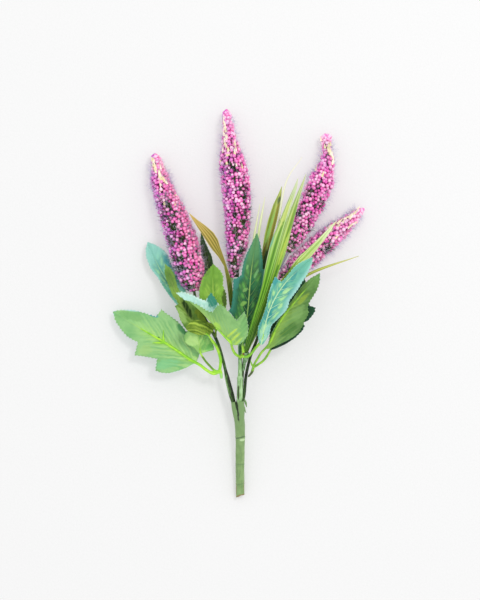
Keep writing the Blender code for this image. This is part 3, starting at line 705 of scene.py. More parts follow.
# Each leaf: places of its midrib from base to tip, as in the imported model; its two edges as they look on the
# photograph, from base to tip; how much they rise (mm per mm) at base and tip; and what shows on top.
LEAVES = {
    "left_broad": dict(
        places=[(-38.2, -53.5, 20.0), (-61, -38, 17.5), (-84, -24.5, 13.5), (-108, -10.2, 8.0)],
        left=[(191, 365), (186, 368), (178, 371), (168, 373.5), (160, 373), (154.5, 370.5), (155.3, 366),
              (156.5, 359), (150, 358), (142, 356.5), (133.5, 355.5), (135.5, 349), (137.5, 343),
              (133, 340.5), (127, 337), (122, 332), (117, 325), (114, 319)],
        right=[(197, 361), (199.5, 355), (200.5, 348), (198, 340), (192, 334), (186, 330.5), (183, 326.5),
               (178, 321), (170, 315), (165.5, 312), (161.5, 308.5), (159, 312), (155.5, 316), (150, 314),
               (142, 311.5), (132, 309), (122, 309), (116, 310)],
        rise=((-0.12, -0.05), (-0.14, -0.1)), top="back", vein_gap=8.5, tooth=1.5,
    ),
    "left_outer": dict(
        places=[(-41.5, -17.0, 16.0), (-57, 8, 13.0), (-69.5, 29, 9.5), (-78.5, 49.3, 6.0)],
        left=[(188, 318), (180, 309), (170, 297), (163, 287), (157, 277), (150, 268), (145.7, 257),
              (145.3, 249)],
        right=[(193, 313), (190, 300), (184, 286), (177, 273), (171, 263), (168, 254), (163, 249),
               (155, 244)],
        rise=((-0.15, 0.12), (0.05, 0.1)), top="front", vein_gap=8, tooth=0.9,
    ),
    "left_inner": dict(
        places=[(-34.5, -27.5, 25.5), (-46, -10, 26.5), (-56, 10, 25.0), (-63.6, 30.6, 21.0)],
        left=[(195, 332), (187, 330), (184, 327), (180, 320), (178, 313), (174.5, 306), (178, 304),
              (176, 300), (173, 297), (170, 290), (166, 280), (164, 272)],
        right=[(204, 330.5), (208.5, 326), (205, 317.5), (199, 309.5), (191, 301.5), (182.5, 295), (178, 287),
               (176, 280), (174.5, 274), (171, 268)],
        rise=((-0.14, -0.14), (-0.3, -0.2)), top="back", vein_gap=6, tooth=0.6,
    ),
    "left_shaded": dict(
        places=[(-19.5, -15.3, 12.5), (-23.5, 8, 8.0), (-28, 32, 5.5), (-33, 58.5, 4.0)],
        left=[(213, 313), (207, 296), (203, 275), (200.5, 252), (200, 240)],
        right=[(221, 310), (219.5, 295), (217, 280), (213.5, 264), (212, 256), (206, 243)],
        rise=((0.05, 0.05), (0.1, 0.1)), top="front", vein_gap=6, tooth=0.6,
    ),
    "rounded": dict(
        places=[(-20.6, -28.0, 24.5), (-22, -8, 28.5), (-23, 12, 31.0), (-22.9, 30.6, 30.5)],
        left=[(213, 327), (208, 316), (203, 306), (199, 297.5), (198.5, 291), (200, 284), (202.3, 277),
              (207, 270)],
        right=[(221, 325), (225, 313), (227.3, 302), (226.5, 293), (223.2, 285), (223.7, 276), (221, 270.5),
               (217, 266.5)],
        rise=((0.16, 0.1), (0.16, 0.1)), top="front", vein_gap=7, tooth=1.0,
    ),
    "folded": dict(
        places=[(-6.8, -37.4, 43.0), (-22, -22, 45.5), (-38, -5.5, 42.5), (-54.4, 6.0, 36.0)],
        left=[(236, 341), (240, 333), (238, 322), (231, 313), (224, 308), (218.5, 303), (215, 297),
              (211.3, 291.3), (208.5, 295.5), (205.5, 299.8), (200, 298), (193, 294.3), (187, 292.3),
              (181, 290.8)],
        right=[(233, 345.3), (239, 345.3), (244.5, 341), (248.2, 335), (249, 327), (247.8, 319), (245, 310.6),
               (242.5, 313.5), (240, 316), (237, 319.3), (233, 315.8), (229.5, 311.6), (225.5, 307.3),
               (221, 304), (217.8, 304.2), (215.3, 307.5), (212.5, 311.4), (208.5, 310.2), (204, 307.6),
               (197, 303.6), (190, 301), (184, 300)],
        rise=((-0.25, -0.1), (0.3, 0.5)), top="back", vein_gap=7, tooth=1.5,
    ),
    "curled": dict(
        places=[(-26.3, -30.6, 36.0), (-32, -26, 43.0), (-40, -22, 48.0), (-46, -23, 51.5)],
        left=[(209.5, 334.5), (203, 335), (196, 334.3), (190, 332.3), (186.5, 330)],
        right=[(213, 331), (214, 327), (211.5, 323), (206, 320.7), (199, 319.7), (192, 321), (187.5, 324.5)],
        rise=((-0.9, -0.6), (-0.5, -0.3)), top="back", vein_gap=3.2, tooth=0.3,
    ),
    "small": dict(
        places=[(-33.5, -45.5, 25.5), (-34.5, -38, 30.0), (-36, -29, 32.5), (-38, -19, 31.5)],
        left=[(197, 351.5), (193, 346.5), (188.5, 345.5), (185.3, 343), (183.2, 339), (184.6, 334.5),
              (187.5, 330.5), (190, 326)],
        right=[(205, 352), (210, 350.8), (214.5, 350), (213.5, 344.5), (210.5, 339), (206.5, 333),
               (201, 326)],
        rise=((-0.35, -0.2), (-0.35, -0.2)), top="back", vein_gap=6, tooth=0.6,
    ),
    "centre_dark": dict(
        places=[(1.9, -39.5, 28.6), (6.5, -10, 33.2), (9.5, 24, 37.5), (14.4, 56.9, 40.0)],
        left=[(240, 340), (238.5, 331), (237, 321), (233, 315.5), (228, 310.3), (231, 307), (231.8, 301),
              (232.6, 291), (233, 278.6), (237.3, 277.3), (241, 275), (242, 268), (243.6, 260.5),
              (246.2, 254), (249, 248), (252.2, 241.5), (255, 236)],
        right=[(246, 342), (251, 334), (258, 325), (266, 313), (262.5, 305), (262, 297), (265, 286),
               (267.5, 270), (263.3, 268.8), (263, 261), (262, 250), (260.2, 241.5), (258.5, 236.5)],
        rise=((0.1, 0.1), (0.12, 0.1)), top="front", vein_gap=9, tooth=0.8,
    ),
    "right_front": dict(
        places=[(17.8, -38.2, 39.5), (25, -9, 53.0), (38.5, 14.5, 56.5), (62.0, 36.5, 51.0)],
        left=[(259, 342), (257.2, 334), (258, 326), (262.5, 316), (266, 306), (268, 295), (271, 285),
              (275, 276), (278.2, 279.3), (281.5, 281.3), (285.3, 277.5), (289, 273), (293.5, 267),
              (300, 262), (307, 259)],
        right=[(263.5, 344), (267, 339), (270, 333.5), (271.3, 327), (273, 323.5), (277, 320), (281.5, 315.7),
               (285.5, 312), (288.5, 307), (290.3, 300), (295, 294), (299.3, 288), (303, 281.5), (307, 276),
               (310, 270), (312.6, 263)],
        rise=((0.2, 0.08), (-0.25, -0.05)), top="front", vein_gap=9, tooth=1.0,
    ),
    "right_back": dict(
        places=[(22.9, -41.6, 34.5), (34, -18.5, 39.5), (48, 0.0, 41.5), (68.0, 22.9, 41.5)],
        left=[(268, 343), (271, 333), (277, 322), (284, 312), (290, 303), (297, 292), (304, 283),
              (311, 277.3), (316.5, 274.5)],
        right=[(271, 348.5), (276, 346), (281.5, 343.5), (288.5, 340), (295, 336), (300, 331.5), (304, 325),
               (305.5, 320), (308, 316.5), (309.3, 312.5), (308.3, 308), (309.5, 303.5), (312.5, 298.5),
               (316.3, 292.5), (319, 286.5), (320.5, 280)],
        rise=((-0.2, -0.2), (-0.22, -0.15)), top="back", vein_gap=8.5, tooth=1.1,
    ),
    "right_shaded": dict(
        places=[(26.3, -42.5, 27.0), (36, -18, 27.5), (45, 4.5, 28.0), (53.5, 28.9, 28.5)],
        left=[(269, 343), (269.5, 332), (271, 324), (278, 310), (286, 295), (295, 279)],
        right=[(276, 348.5), (286, 344), (296, 337.5), (303, 330.5), (305.3, 325.5), (303.5, 322.5),
               (308.5, 320.5), (312.5, 316), (315.5, 311.5), (316, 307.5), (310, 305.4), (308, 296),
               (306, 282), (304.5, 274)],
        rise=((0.05, 0.05), (0.05, 0.05)), top="front", vein_gap=7, tooth=1.0,
    ),
}


def slope_at(slopes, share):
    return slopes[0] + (slopes[1] - slopes[0]) * share


def edge_knots(spine, points, slopes, lean=VEIN_LEAN):
    """An edge as (share, place, reach) knots: where its side vein leaves the midrib, and its mm so far."""
    steps = 80
    line = [spine.at(k / steps) for k in range(steps + 1)]
    knots = [(0.0, line[0], 0.0)]
    for x, y in points:
        height = line[0].z / MM
        for _ in range(3):
            spot = seen(x, y, height)
            away = [(spot - point).to_2d().length for point in line]
            nearest = away.index(min(away))
            out = away[nearest]
            share = max(nearest / steps - out * lean / spine.length, knots[-1][0] + 0.004)
            height = (spine.at(min(share, 1)).z + out * slope_at(slopes, share)) / MM
        spot.z = height * MM
        knots.append((min(share, 0.995 + len(knots) * 1e-4), spot,
                      knots[-1][2] + (spot - knots[-1][1]).length / MM))
    tip = line[-1]
    knots.append((1.01, tip, knots[-1][2] + (tip - knots[-1][1]).length / MM))
    return knots


def read_edge(knots, share):
    """The place on the edge for a share of the midrib, and how far along the edge it is."""
    for (s0, p0, r0), (s1, p1, r1) in zip(knots, knots[1:]):
        if share <= s1 or s1 == knots[-1][0]:
            part = (share - s0) / (s1 - s0)
            return p0.lerp(p1, part), r0 + (r1 - r0) * part
    return knots[-1][1], knots[-1][2]


def leaf_mesh(leaf, seed):
    draw = random.Random(seed)
    spine = Spine([place(*p) for p in leaf["places"]])
    length = spine.length / MM
    edges = [edge_knots(spine, leaf[side], slopes) for side, slopes in zip(("left", "right"), leaf["rise"])]
    shares = sorted({min(knot[0], 1.0) for knots in edges for knot in knots})
    rows = [0.0]
    for before, after in zip(shares, shares[1:]):
        spans = [(read_edge(knots, after)[0] - read_edge(knots, before)[0]).length / MM for knots in edges]
        steps = max(1, round(max(max(spans), (after - before) * length) / ROW_STEP))
        rows += [before + (after - before) * (k + 1) / steps for k in range(steps)]
    mesh = bmesh.new()
    bmesh.ops.create_grid(mesh, x_segments=len(rows) - 1, y_segments=LEAF_COLUMNS, size=1)
    layer = mesh.loops.layers.uv.new("leaf")
    veins = mesh.verts.layers.float_vector.new("veins")
    wave = draw.uniform(0, 6)
    found = {}
    for vertex in mesh.verts:
        row = round((vertex.co.x + 1) / 2 * (len(rows) - 1))
        over = vertex.co.y
        share = rows[row]
        if row not in found:
            centre, _, _, front = spine.frame(share)
            found[row] = (centre, front, [read_edge(knots, share) for knots in edges])
        centre, front, sides = found[row]
        edge, reach = sides[0] if over < 0 else sides[1]
        way = edge - centre
        width = way.length / MM
        amount = abs(over)
        nick = leaf["tooth"] * (reach / TOOTH % 1) if width > 1 else 0
        spot = centre + way * amount * (1 - nick / max(width, 1) * (amount ** 6))
        gap = leaf["vein_gap"]
        phase = share * length / gap + (0.5 if over < 0 else 0)
        quilt = abs(sin(pi * phase)) ** 0.7
        swell = QUILT * quilt * sin(pi * min(amount, 1)) ** 0.8 * min(width / 8, 1)
        crease = -CREASE * max(0, 1 - amount * width / CREASE_WIDTH) * min(width / 3, 1)
        ripple = RIPPLE * amount ** 3 * sin(reach / RIPPLE_LENGTH + wave) * min(width / 6, 1)
        turned_up = 1 if leaf["top"] == "front" else -1
        spot = spot + front * ((swell + crease) * turned_up + ripple) * MM
        vertex.co = spot
        vertex[veins] = (over * width, share * length + (gap / 2 if over < 0 else 0), amount)
    bmesh.ops.reverse_faces(mesh, faces=mesh.faces)
    for face in mesh.faces:
        for loop in face.loops:
            across, along, _ = loop.vert[veins]
            loop[layer].uv = (0.5 + across / 100, along / 100)
    bmesh.ops.remove_doubles(mesh, verts=mesh.verts, dist=1e-5)
    return mesh


def vein_lines(finish, gap, length, width, soft, side_strength):
    """How strongly the veins show, from 0 to 1, the mm across and along, the share of the width, and the mm
    from the nearest side vein."""
    _, across, along, amount = finish.read("veins")
    away = finish.maths("ABSOLUTE", across)
    bend = finish.plus(finish.times(away, VEIN_BEND), VEIN_SWEEP)
    swept = finish.maths("SUBTRACT", along, finish.times(away, bend))
    wobble = finish.times(finish.noise(finish.here(), 6, 2), 3)
    turns = finish.maths("DIVIDE", finish.plus(swept, wobble), gap)
    part = finish.maths("ABSOLUTE", finish.maths("SUBTRACT", finish.maths("FRACT", turns), 0.5))
    from_vein = finish.times(finish.maths("SUBTRACT", 0.5, part), gap)
    side = finish.steps(from_vein, width * 0.5, width * 0.5 + soft, side_strength, 0)
    side = finish.times(side, finish.steps(amount, 0.3, 0.85, 1, 0))
    side = finish.times(side, finish.steps(along, length * 0.55, length * 0.8, 1, 0))
    rib = finish.steps(away, width, width + soft, 1, 0)
    rib = finish.times(rib, finish.steps(along, length * 0.6, length * 0.9, 1, 0))
    return finish.maths("MAXIMUM", side, rib), across, along, amount, from_vein


def weave(finish):
    """The cloth's plain weave as a height from 0 to 1, with threads 0.4 mm apart."""
    cloth = finish.add("ShaderNodeUVMap", uv_map="leaf").outputs[0]
    parts = finish.add("ShaderNodeSeparateXYZ", cloth).outputs
    threads = [finish.maths("SINE", finish.times(part, THREAD_TURNS)) for part in parts[:2]]
    return finish.times(finish.plus(finish.times(*threads), 1), 0.5)


def leaf_front(name, leaf, colours, rims, side_veins, dabs):
    """The printed front. The rims say from which share of each half's width the rim colour runs."""
    ground, deep, oval, vein, rim, far = colours
    finish = Finish("leaf_print_" + name, 0.62, Specular_IOR_Level=0.35)
    where = finish.here()
    cloud = finish.noise(where, 12, 4)
    fine = finish.noise(where, 1.8, 4)
    gap = leaf["vein_gap"]
    length = Spine([place(*p) for p in leaf["places"]]).length / MM
    lines, across, along, amount, from_vein = vein_lines(finish, gap, length, 0.35, 0.5, side_veins)
    veined = finish.steps(along, length * 0.6, length * 0.85, 1, 0)
    colour = finish.mix(finish.steps(cloud, 0.35, 0.65), ground, deep)
    colour = finish.mix(finish.steps(along, length * 0.5, length * 0.95, 0, 0.85), colour, far)
    colour = finish.mix(finish.steps(amount, finish.steps(across, -1, 1, *rims), 1.02), colour, rim)
    between_veins = finish.maths("SUBTRACT", 1, finish.times(from_vein, 2 / gap))
    outward = finish.times(finish.maths("SUBTRACT", amount, 0.42), 3.6)
    squares = [finish.times(part, part) for part in (between_veins, outward)]
    ragged = finish.plus(finish.plus(*squares), finish.noise(where, 2.5, 3))
    bleached = finish.steps(ragged, 0.35, 1.6, 0.85, 0)
    bleached = finish.times(bleached, finish.steps(finish.noise(where, 9, 1), 0.4, 0.58, 0.2, 1))
    colour = finish.mix(finish.times(bleached, veined), colour, oval)
    # Darker bands beside the side veins are painted shade.
    streak = finish.times(finish.steps(from_vein, 0.5, 1.8, 0.85, 0), finish.steps(fine, 0.35, 0.6))
    streak = finish.times(streak, finish.steps(amount, 0.1, 0.75, 1, 0))
    colour = finish.mix(finish.times(streak, veined), colour, deep)
    for values in dabs:
        colour = finish.dab(colour, leaf["places"][1][2], *values)
    broken = finish.times(lines, finish.steps(fine, 0.25, 0.5, 0.5, 0.95))
    finish.colour(finish.mix(broken, colour, vein))
    threads = finish.times(weave(finish), 0.4)
    finish.relief(finish.plus(finish.times(lines, -0.8), threads), 0.25)
    return finish.material


def leaf_back(name, leaf, colours, pleat, sweep, dabs):
    """The unprinted back, with pressed pleats that lean by sweep, or run lengthwise where it is None."""
    ground, deep, pale, vein, glow = colours
    finish = Finish("leaf_back_" + name, 0.72, Specular_IOR_Level=0.25)
    where = finish.here()
    cloud = finish.noise(where, 15, 3)
    fine = finish.noise(where, 3, 4)
    length = Spine([place(*p) for p in leaf["places"]]).length / MM
    lines, across, along, amount, _ = vein_lines(finish, leaf["vein_gap"], length, 0.4, 0.7, 0.85)
    away = finish.maths("ABSOLUTE", across)
    if sweep is None:
        phase = finish.times(finish.plus(across, finish.times(along, 0.12)), 1.9)
        held = finish.steps(cloud, 0.3, 0.5, 0.8, 1)
    else:
        phase = finish.maths("SUBTRACT", along, finish.times(away, sweep))
        held = finish.times(finish.steps(amount, 0.45, 1.0, 1, 0.1), finish.steps(cloud, 0.38, 0.6, 0.3, 1))
        held = finish.times(held, finish.steps(along, length * 0.45, length * 0.8, 1, 0.1))
    phase = finish.plus(phase, finish.times(finish.noise(where, 9, 2), 7))
    waves = [finish.maths("SINE", finish.times(phase, turns)) for turns in (1.05, 0.6)]
    ridged = finish.plus(finish.plus(*waves), finish.times(fine, 2))
    pleats = finish.steps(ridged, -0.5, 2.6)
    colour = finish.mix(finish.steps(cloud, 0.3, 0.7), ground, deep)
    colour = finish.mix(finish.times(finish.steps(fine, 0.5, 0.7), 0.25), colour, deep)
    near = finish.times(finish.steps(away, 0.5, 9, 0.6, 0),
                        finish.steps(along, length * 0.5, length * 0.8, 1, 0))
    colour = finish.mix(near, colour, glow)
    light = finish.times(finish.times(pleats, held), pleat)
    colour = finish.mix(light, colour, pale)
    shade = finish.times(finish.maths("SUBTRACT", 1, pleats), held)
    colour = finish.mix(finish.times(shade, pleat), colour, deep)
    for values in dabs:
        colour = finish.dab(colour, leaf["places"][1][2], *values)
    finish.colour(finish.mix(finish.times(lines, 0.35), colour, vein))
    folds = finish.times(finish.times(pleats, held), 0.6)
    height = finish.plus(finish.times(lines, 0.7), folds)
    finish.relief(finish.plus(height, finish.times(weave(finish), 0.35)), 0.35)
    return finish.material


def cut_cloth(name, pale, deep):
    finish = Finish("leaf_cut_" + name, 0.85)
    threads = finish.noise(finish.here(), 0.7, 3)
    finish.colour(finish.mix(finish.steps(threads, 0.35, 0.65), pale, deep))
    finish.relief(threads, 0.1)
    return finish.material


# The fronts: ground, deep, bleached oval, vein, rim and far end, and from where the rim runs, left and right.
FRONTS = {
    "left_broad": (("6FC0A8", "3F9480", "B2E4A4", "D8F2C8", "8FD6C4", "8FD0B8"), (0.6, 0.6), 0.8),
    "left_outer": (("7AC8AE", "3C9488", "A8E0A0", "B8E8B4", "9CD8C8", "9CDACA"), (0.5, 0.7), 0.8),
    "left_inner": (("4F9A78", "2F7458", "8CCB9C", "B0D890", "6CB8A4", "64AC90"), (0.6, 0.6), 0.8),
    # The left shaded leaf's dark colours are painted shade.
    "left_shaded": (("34562C", "1A361A", "5C7C3C", "8CA86C", "3C6434", "3C6438"), (0.6, 0.6), 0.8),
    "rounded": (("84B83C", "629630", "A0CC50", "B4D860", "8ABC48", "76A83C"), (0.75, 0.75), 0.8),
    "folded": (("BCE8D8", "8CCCB8", "E0F8EC", "E8F8EC", "D0F0E4", "C4ECE0"), (0.6, 0.6), 0.8),
    "curled": (("5C9448", "34702C", "8CBC54", "A8CC60", "74A84C", "74A84C"), (0.6, 0.6), 0.8),
    "small": (("5CA068", "3C7C4C", "94CC7C", "B0DC80", "7CB880", "7CB880"), (0.6, 0.6), 0.8),
    "centre_dark": (("206C42", "124C2C", "66AC4C", "A4CC6C", "3A8A74", "66A066"), (0.55, 0.5), 0.4),
    "right_front": (("5CB49A", "329490", "B4E898", "C8F0B8", "A4DCD0", "78C2A8"), (0.75, 0.5), 0.8),
    "right_back": (("4C9070", "2C6850", "84BC84", "A4CC84", "64AC98", "64AC98"), (0.6, 0.6), 0.8),
    # The right shaded leaf's dark colours are painted shade.
    "right_shaded": (("083E16", "04240C", "1C5630", "347444", "144E2C", "144E2C"), (0.7, 0.7), 0.8),
}
# The backs: ground, deep, pale, vein and glow by the midrib, how strong the pleats are, and how they lean.
BACKS = {
    "left_broad": (("A2D48C", "80BE78", "C4EA9C", "BCE660", "C4F284"), 0.5, 0.9),
    "left_outer": (("8CBC80", "6CA068", "A8D090", "B0D880", "A8D888"), 0.4, 0.6),
    "left_inner": (("82AE4E", "507C30", "A0C664", "A0BC60", "8CB040"), 0.5, 0.9),
    "left_shaded": (("5C7C44", "40602C", "7C9C5C", "8CA868", "7C9C5C"), 0.4, 0.6),
    "rounded": (("8CB060", "6C9448", "A8C878", "B8D480", "A8C878"), 0.4, 0.6),
    "folded": (("94C67C", "7CB06A", "B0D88C", "B4D458", "A4D06C"), 0.16, 1.2),
    "curled": (("90B23A", "56781E", "B8D454", "A8C44C", "A4C848"), 0.8, None),
    "small": (("A0D47C", "6CB45C", "C4EC90", "B4E070", "B4E480"), 0.7, 0.7),
    "centre_dark": (("7CA868", "5C8C50", "98C080", "A8C878", "98C080"), 0.4, 0.6),
    "right_front": (("84B474", "649858", "A4CC8C", "B0D484", "A4CC8C"), 0.4, 0.6),
    "right_back": (("7AAA5C", "557F40", "94BC6C", "A8C844", "98BC48"), 0.45, 1.0),
    "right_shaded": (("5C8C50", "3C6C38", "7CA868", "8CB474", "7CA868"), 0.4, 0.6),
}
# Soft ovals of another colour on the side that shows: middle, half length and half width in photo points,
# turn in degrees, colour and strength.
DABS = {
    "left_broad": [
        (132, 309.4, 19, 2.4, -4, "B4E6DE", 0.95), (152, 314.2, 8, 2.6, -22, "4FA6A6", 0.95),
        (158.4, 338, 1.7, 1.5, 0, "16382A", 1.0),
        # The dark teal-green oval by the right edge is painted shade on the curled edge.
        (182, 329, 8, 4, -45, "4C9A5E", 0.85), (131, 316, 15, 5, -14, "7AB268", 0.55),
        (167, 364, 15, 6, 8, "80CE92", 0.6), (145, 350, 8, 6, 20, "A8D080", 0.6),
    ],
    "left_outer": [(168, 262, 8, 5, -55, "3C949C", 0.8), (166, 290, 16, 2.5, -52, "5CB890", 0.6)],
    "left_inner": [
        # The dark oval along the crease is a painted shadow.
        (187, 309, 13, 3.4, -62, "29481A", 0.95), (181.5, 316, 10, 4, -62, "A8D074", 0.7),
        (169.5, 279, 10, 5, -70, "567A38", 0.6), (201, 315, 10, 5, -50, "94AC30", 0.8),
    ],
    # The dark olive oval down the rounded leaf's right half is painted shade.
    "rounded": [(225, 298, 11, 3.5, 85, "405A14", 0.9), (206, 272, 7, 4, 50, "547C2C", 0.5)],
    "folded": [
        (212.5, 299, 12, 7, 97, "338A72", 1.0), (232, 333, 9, 1.3, 40, "C8E450", 0.7),
        (234, 335, 9, 1.0, 42, "7CA848", 0.6), (235.5, 337, 9, 1.3, 42, "C4E04C", 0.7),
        (237.5, 339, 8, 1.0, 44, "7CA848", 0.6), (239, 341, 7, 1.2, 45, "BCDC50", 0.6),
        (217, 326, 5, 3, -40, "B0E050", 0.7), (243, 328, 12, 4, 80, "74B068", 0.6),
        (229, 312, 8, 5, -30, "A0D088", 0.5),
    ],
    "curled": [(190, 331, 6, 5, 40, "587C20", 0.4), (205, 321.6, 9, 1.6, 0, "3E5C12", 0.6)],
    "small": [(192, 341, 8, 6, 0, "C2EC92", 0.85), (207, 347, 8, 3.5, 8, "62AC5A", 0.6)],
    "centre_dark": [
        (266, 276, 11, 4, 80, "4C8E8C", 0.6), (236, 282, 8, 4, 80, "3C8E80", 0.6),
        (243.5, 303.5, 3.6, 2.4, 30, "8CC45C", 0.8), (245, 290, 3, 2, 40, "84BC64", 0.7),
        (247.5, 267, 3, 1.2, 70, "84BC70", 0.7), (256.5, 273, 6, 1.4, 66, "7CB874", 0.7),
    ],
    "right_front": [
        # The narrow dark teal ovals along its veins are painted shade.
        (275, 281, 5, 3.5, 60, "36989A", 0.8), (293.5, 277, 8, 2.2, 62, "3C9494", 0.7),
        (264, 334, 12, 5, 70, "A8E0CC", 0.6), (286, 291, 5, 2.2, 35, "B8E89C", 0.7),
        (280, 306, 4, 2.4, 40, "B8E89C", 0.7), (275.5, 286, 6, 1.8, 70, "3C9CA0", 0.6),
        (270, 296, 7, 1.2, 80, "3C9CA0", 0.6), (266.5, 314, 7, 1.4, 75, "3C9CA0", 0.6),
        (261, 323, 8, 1.6, 78, "3C9CA0", 0.6), (276, 307.5, 5, 1.3, 35, "3C9CA0", 0.6),
        (284, 288.5, 5, 1.6, 50, "3C9CA0", 0.5), (272.5, 315, 4, 1.3, 40, "3C9CA0", 0.6),
        (264.5, 328, 7, 1.6, 70, "BCEC9C", 0.7), (262.5, 340, 4, 1.6, 80, "BCEC9C", 0.6),
    ],
    "right_back": [
        (289, 330, 11, 5, 35, "467A34", 0.7), (300, 289, 16, 2.6, 50, "5C7834", 0.55),
        (298, 312, 10, 6, 45, "88B468", 0.6), (303, 299, 9, 2.5, 45, "A0BC40", 0.6),
    ],
}

for seed, (name, leaf) in enumerate(LEAVES.items()):
    dabs = DABS.get(name, [])
    shows_back = leaf["top"] == "back"
    front_dabs = dabs[:1] if name == "folded" else ([] if shows_back else dabs)
    front = leaf_front(name, leaf, *FRONTS[name], front_dabs)
    back = leaf_back(name, leaf, *BACKS[name], (dabs[1:] if name == "folded" else dabs) if shows_back else [])
    cut = cut_cloth(name, FRONTS[name][0][4], BACKS[name][0][2])
    faces = [back, front] if shows_back else [front, back]
    piece = make_object("cloth_leaf_" + name, leaf_mesh(leaf, seed), faces + [cut], smooth_angle=0)
    wall = piece.modifiers.new("cloth", "SOLIDIFY")
    wall.thickness = CLOTH * MM
    wall.offset = 0
    wall.material_offset = 1
    wall.material_offset_rim = 2
    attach(piece, "root")
    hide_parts("leaf_" + name)


# Each leaf whorl is one moulding of bright green plastic: a foot that clips round a branch stem, and a stalk
# to each leaf that runs on as a rib, glued along the back of the cloth. The rib of the broad leaf has short
# side arms.
RIB_OFF = {"back": 0.75, "front": -1.5}
# Each whorl: the foot, then for each leaf the places of its stalk, as seen on the photograph with their
# heights, and the share of the leaf that its rib reaches.
WHORLS = {
    "left_lower": dict(
        foot=[(221.5, 378.5, 18.6), (221, 374, 19.2), (219.8, 369.5, 19.6)],
        stalks={
            "left_broad": ([(219.5, 371.5, 19.8), (216, 373.3, 20.2), (212, 373.3, 20.6),
                            (205.5, 369.3, 21.2), (200, 365, 21.6)], 0.66, 1.3),
            "small": ([(217.5, 371.5, 20.4), (213.5, 369.6, 21.4), (209.5, 365.6, 22.4), (205, 360.5, 23.8)],
                      0.2, 0.95),
            "curled": ([(219.5, 371.5, 19.8), (220.4, 365, 19.8), (220.6, 360, 20.2), (219.6, 355, 21.4),
                        (218, 350, 23.4), (215.5, 345, 26.2), (212.5, 341, 29.5)], 0.2, 1.3),
        },
        colours=("B0E63A", "86CE28"), grip=1.5,
        marks=[(206.5, 362.5, 12, 2.4, -48, "5E8C16", 0.95), (221, 377, 4, 3, 90, "A0D884", 0.7)],
    ),
    "left_upper": dict(
        foot=[(212.7, 333.4, 21.2), (212, 330, 21.6), (210.8, 326.4, 21.2)],
        stalks={
            "left_outer": ([(211.5, 328, 21.4), (205.4, 327.5, 19.4), (198.1, 324.9, 16.6)], 0.4, 0.9),
            "left_inner": ([(211.5, 329, 21.6), (208.2, 331.3, 24.2), (204.5, 333.4, 26.2)], 0.15, 0.9),
            "rounded": ([(212, 330, 21.8), (213.6, 333.4, 23.0), (215.5, 336.9, 23.4)], 0.5, 0.9),
            "left_shaded": ([(212, 328, 21.2), (216.6, 328.9, 19.0), (217.2, 324.7, 13.8)], 0.4, 0.9),
        },
        colours=("6C8C24", "4C6C18"), grip=1.5, marks=[],
    ),
    "centre": dict(
        foot=[(240, 358.4, 22.6), (240.6, 357, 23.4), (243.6, 354.5, 24.6)],
        stalks={
            "folded": ([(243.6, 356.6, 24.8), (239.5, 356.6, 25.4), (235.2, 353.8, 28.0),
                        (232.4, 348.5, 34.0)], 0.3, 1.15),
            "centre_dark": ([(243.6, 355, 24.8), (243.2, 350, 25.8)], 0.48, 1.35),
            "right_front": ([(243.6, 356.6, 24.8), (248, 356.4, 26.2), (252.2, 352.4, 29.4),
                             (255.4, 348.2, 33.0)], 0.48, 1.15),
        },
        colours=("A6DC3C", "78BC2A"), grip=1.5,
        marks=[(239.8, 356.4, 4, 2.2, 10, "88BC1C", 0.85), (243.7, 353.8, 1.6, 1.6, 0, "6C4416", 1.0)],
    ),
    "right": dict(
        foot=[(248.4, 376.7, 19.2), (251.8, 372.4, 20.8), (253.2, 368.2, 21.8)],
        stalks={
            "right_back": ([(253, 367.6, 22), (255, 363, 23.6), (258, 358, 26.0), (261.6, 352.4, 31.0)], 0.78,
                           1.0),
            "right_shaded": ([(253.4, 367.4, 22), (258, 364.6, 22.4), (263, 361, 23.4), (266.6, 356.6, 24.6)],
                             0.4, 1.0),
        },
        colours=("98CC34", "6EA82C"), grip=1.15, marks=[(250, 375.5, 7, 4, 52, "465A1E", 1.0)],
    ),
}
RIB_TAPER = 0.42
# The side arms of the broad leaf's rib and a stub beside the right foot, with their heights.
SIDE_ARMS = {
    "left_lower": [
        [(164.5, 343.5, 17.6), (163.4, 338, 17.2), (163.6, 330, 16.4)],
        [(163, 342.8, 17.6), (157, 342.8, 17.2), (152.5, 343, 16.6)],
        [(219.5, 370.4, 20.4), (216, 371.6, 20.8), (211, 371.2, 21.2)],
    ],
    "right": [[(253.4, 366.5, 22.0), (251.6, 364, 22.2), (250.6, 360.6, 22.4)]],
}


def rib_route(leaf, reach):
    """Places on the back of a leaf's midrib, from just past its base to a share of its length."""
    spine = Spine([place(*p) for p in leaf["places"]])
    found = []
    for k in range(5):
        share = reach * (k + 0.4) / 4.4
        centre, _, _, front = spine.frame(share)
        found.append(centre + front * RIB_OFF[leaf["top"]] * MM)
    return found


def moulded_green(name, height, bright, dull, marks):
    finish = Finish("moulded_" + name, 0.35)
    where = finish.here()
    cloud = finish.noise(where, 5, 3)
    fine = finish.noise(where, 0.9, 2)
    colour = finish.mix(finish.steps(cloud, 0.35, 0.65), bright, dull)
    colour = finish.mix(finish.steps(fine, 0.6, 0.75), colour, dull)
    for values in marks:
        colour = finish.dab(colour, height, *values)
    finish.colour(colour)
    finish.relief(fine, 0.08)
    return finish.material


for name, whorl in WHORLS.items():
    foot = Spine([seen(*p) for p in whorl["foot"]])
    grip = whorl["grip"]
    mesh = tube(foot, [(0, grip * 0.6), (0.2, grip * 0.8), (0.7, grip), (1, 1.3)], 16, 16)
    for leaf_name, (places, reach, thick) in whorl["stalks"].items():
        route = Spine([seen(*p) for p in places] + rib_route(LEAVES[leaf_name], reach))
        join(mesh, tube(route, [(0, thick), (0.65, thick * 0.95), (1, RIB_TAPER)], 14, 90))
    for arm in SIDE_ARMS.get(name, []):
        join(mesh, tube(Spine([seen(*p) for p in arm]), [(0, 1.1), (0.4, 0.8), (1, 0.3)], 10, 16))
    green = moulded_green(name, whorl["foot"][0][2], *whorl["colours"], whorl["marks"])
    piece = make_object("leaf_moulding_" + name, mesh, [green])
    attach(piece, "root")
    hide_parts("leaf_whorl_" + name)


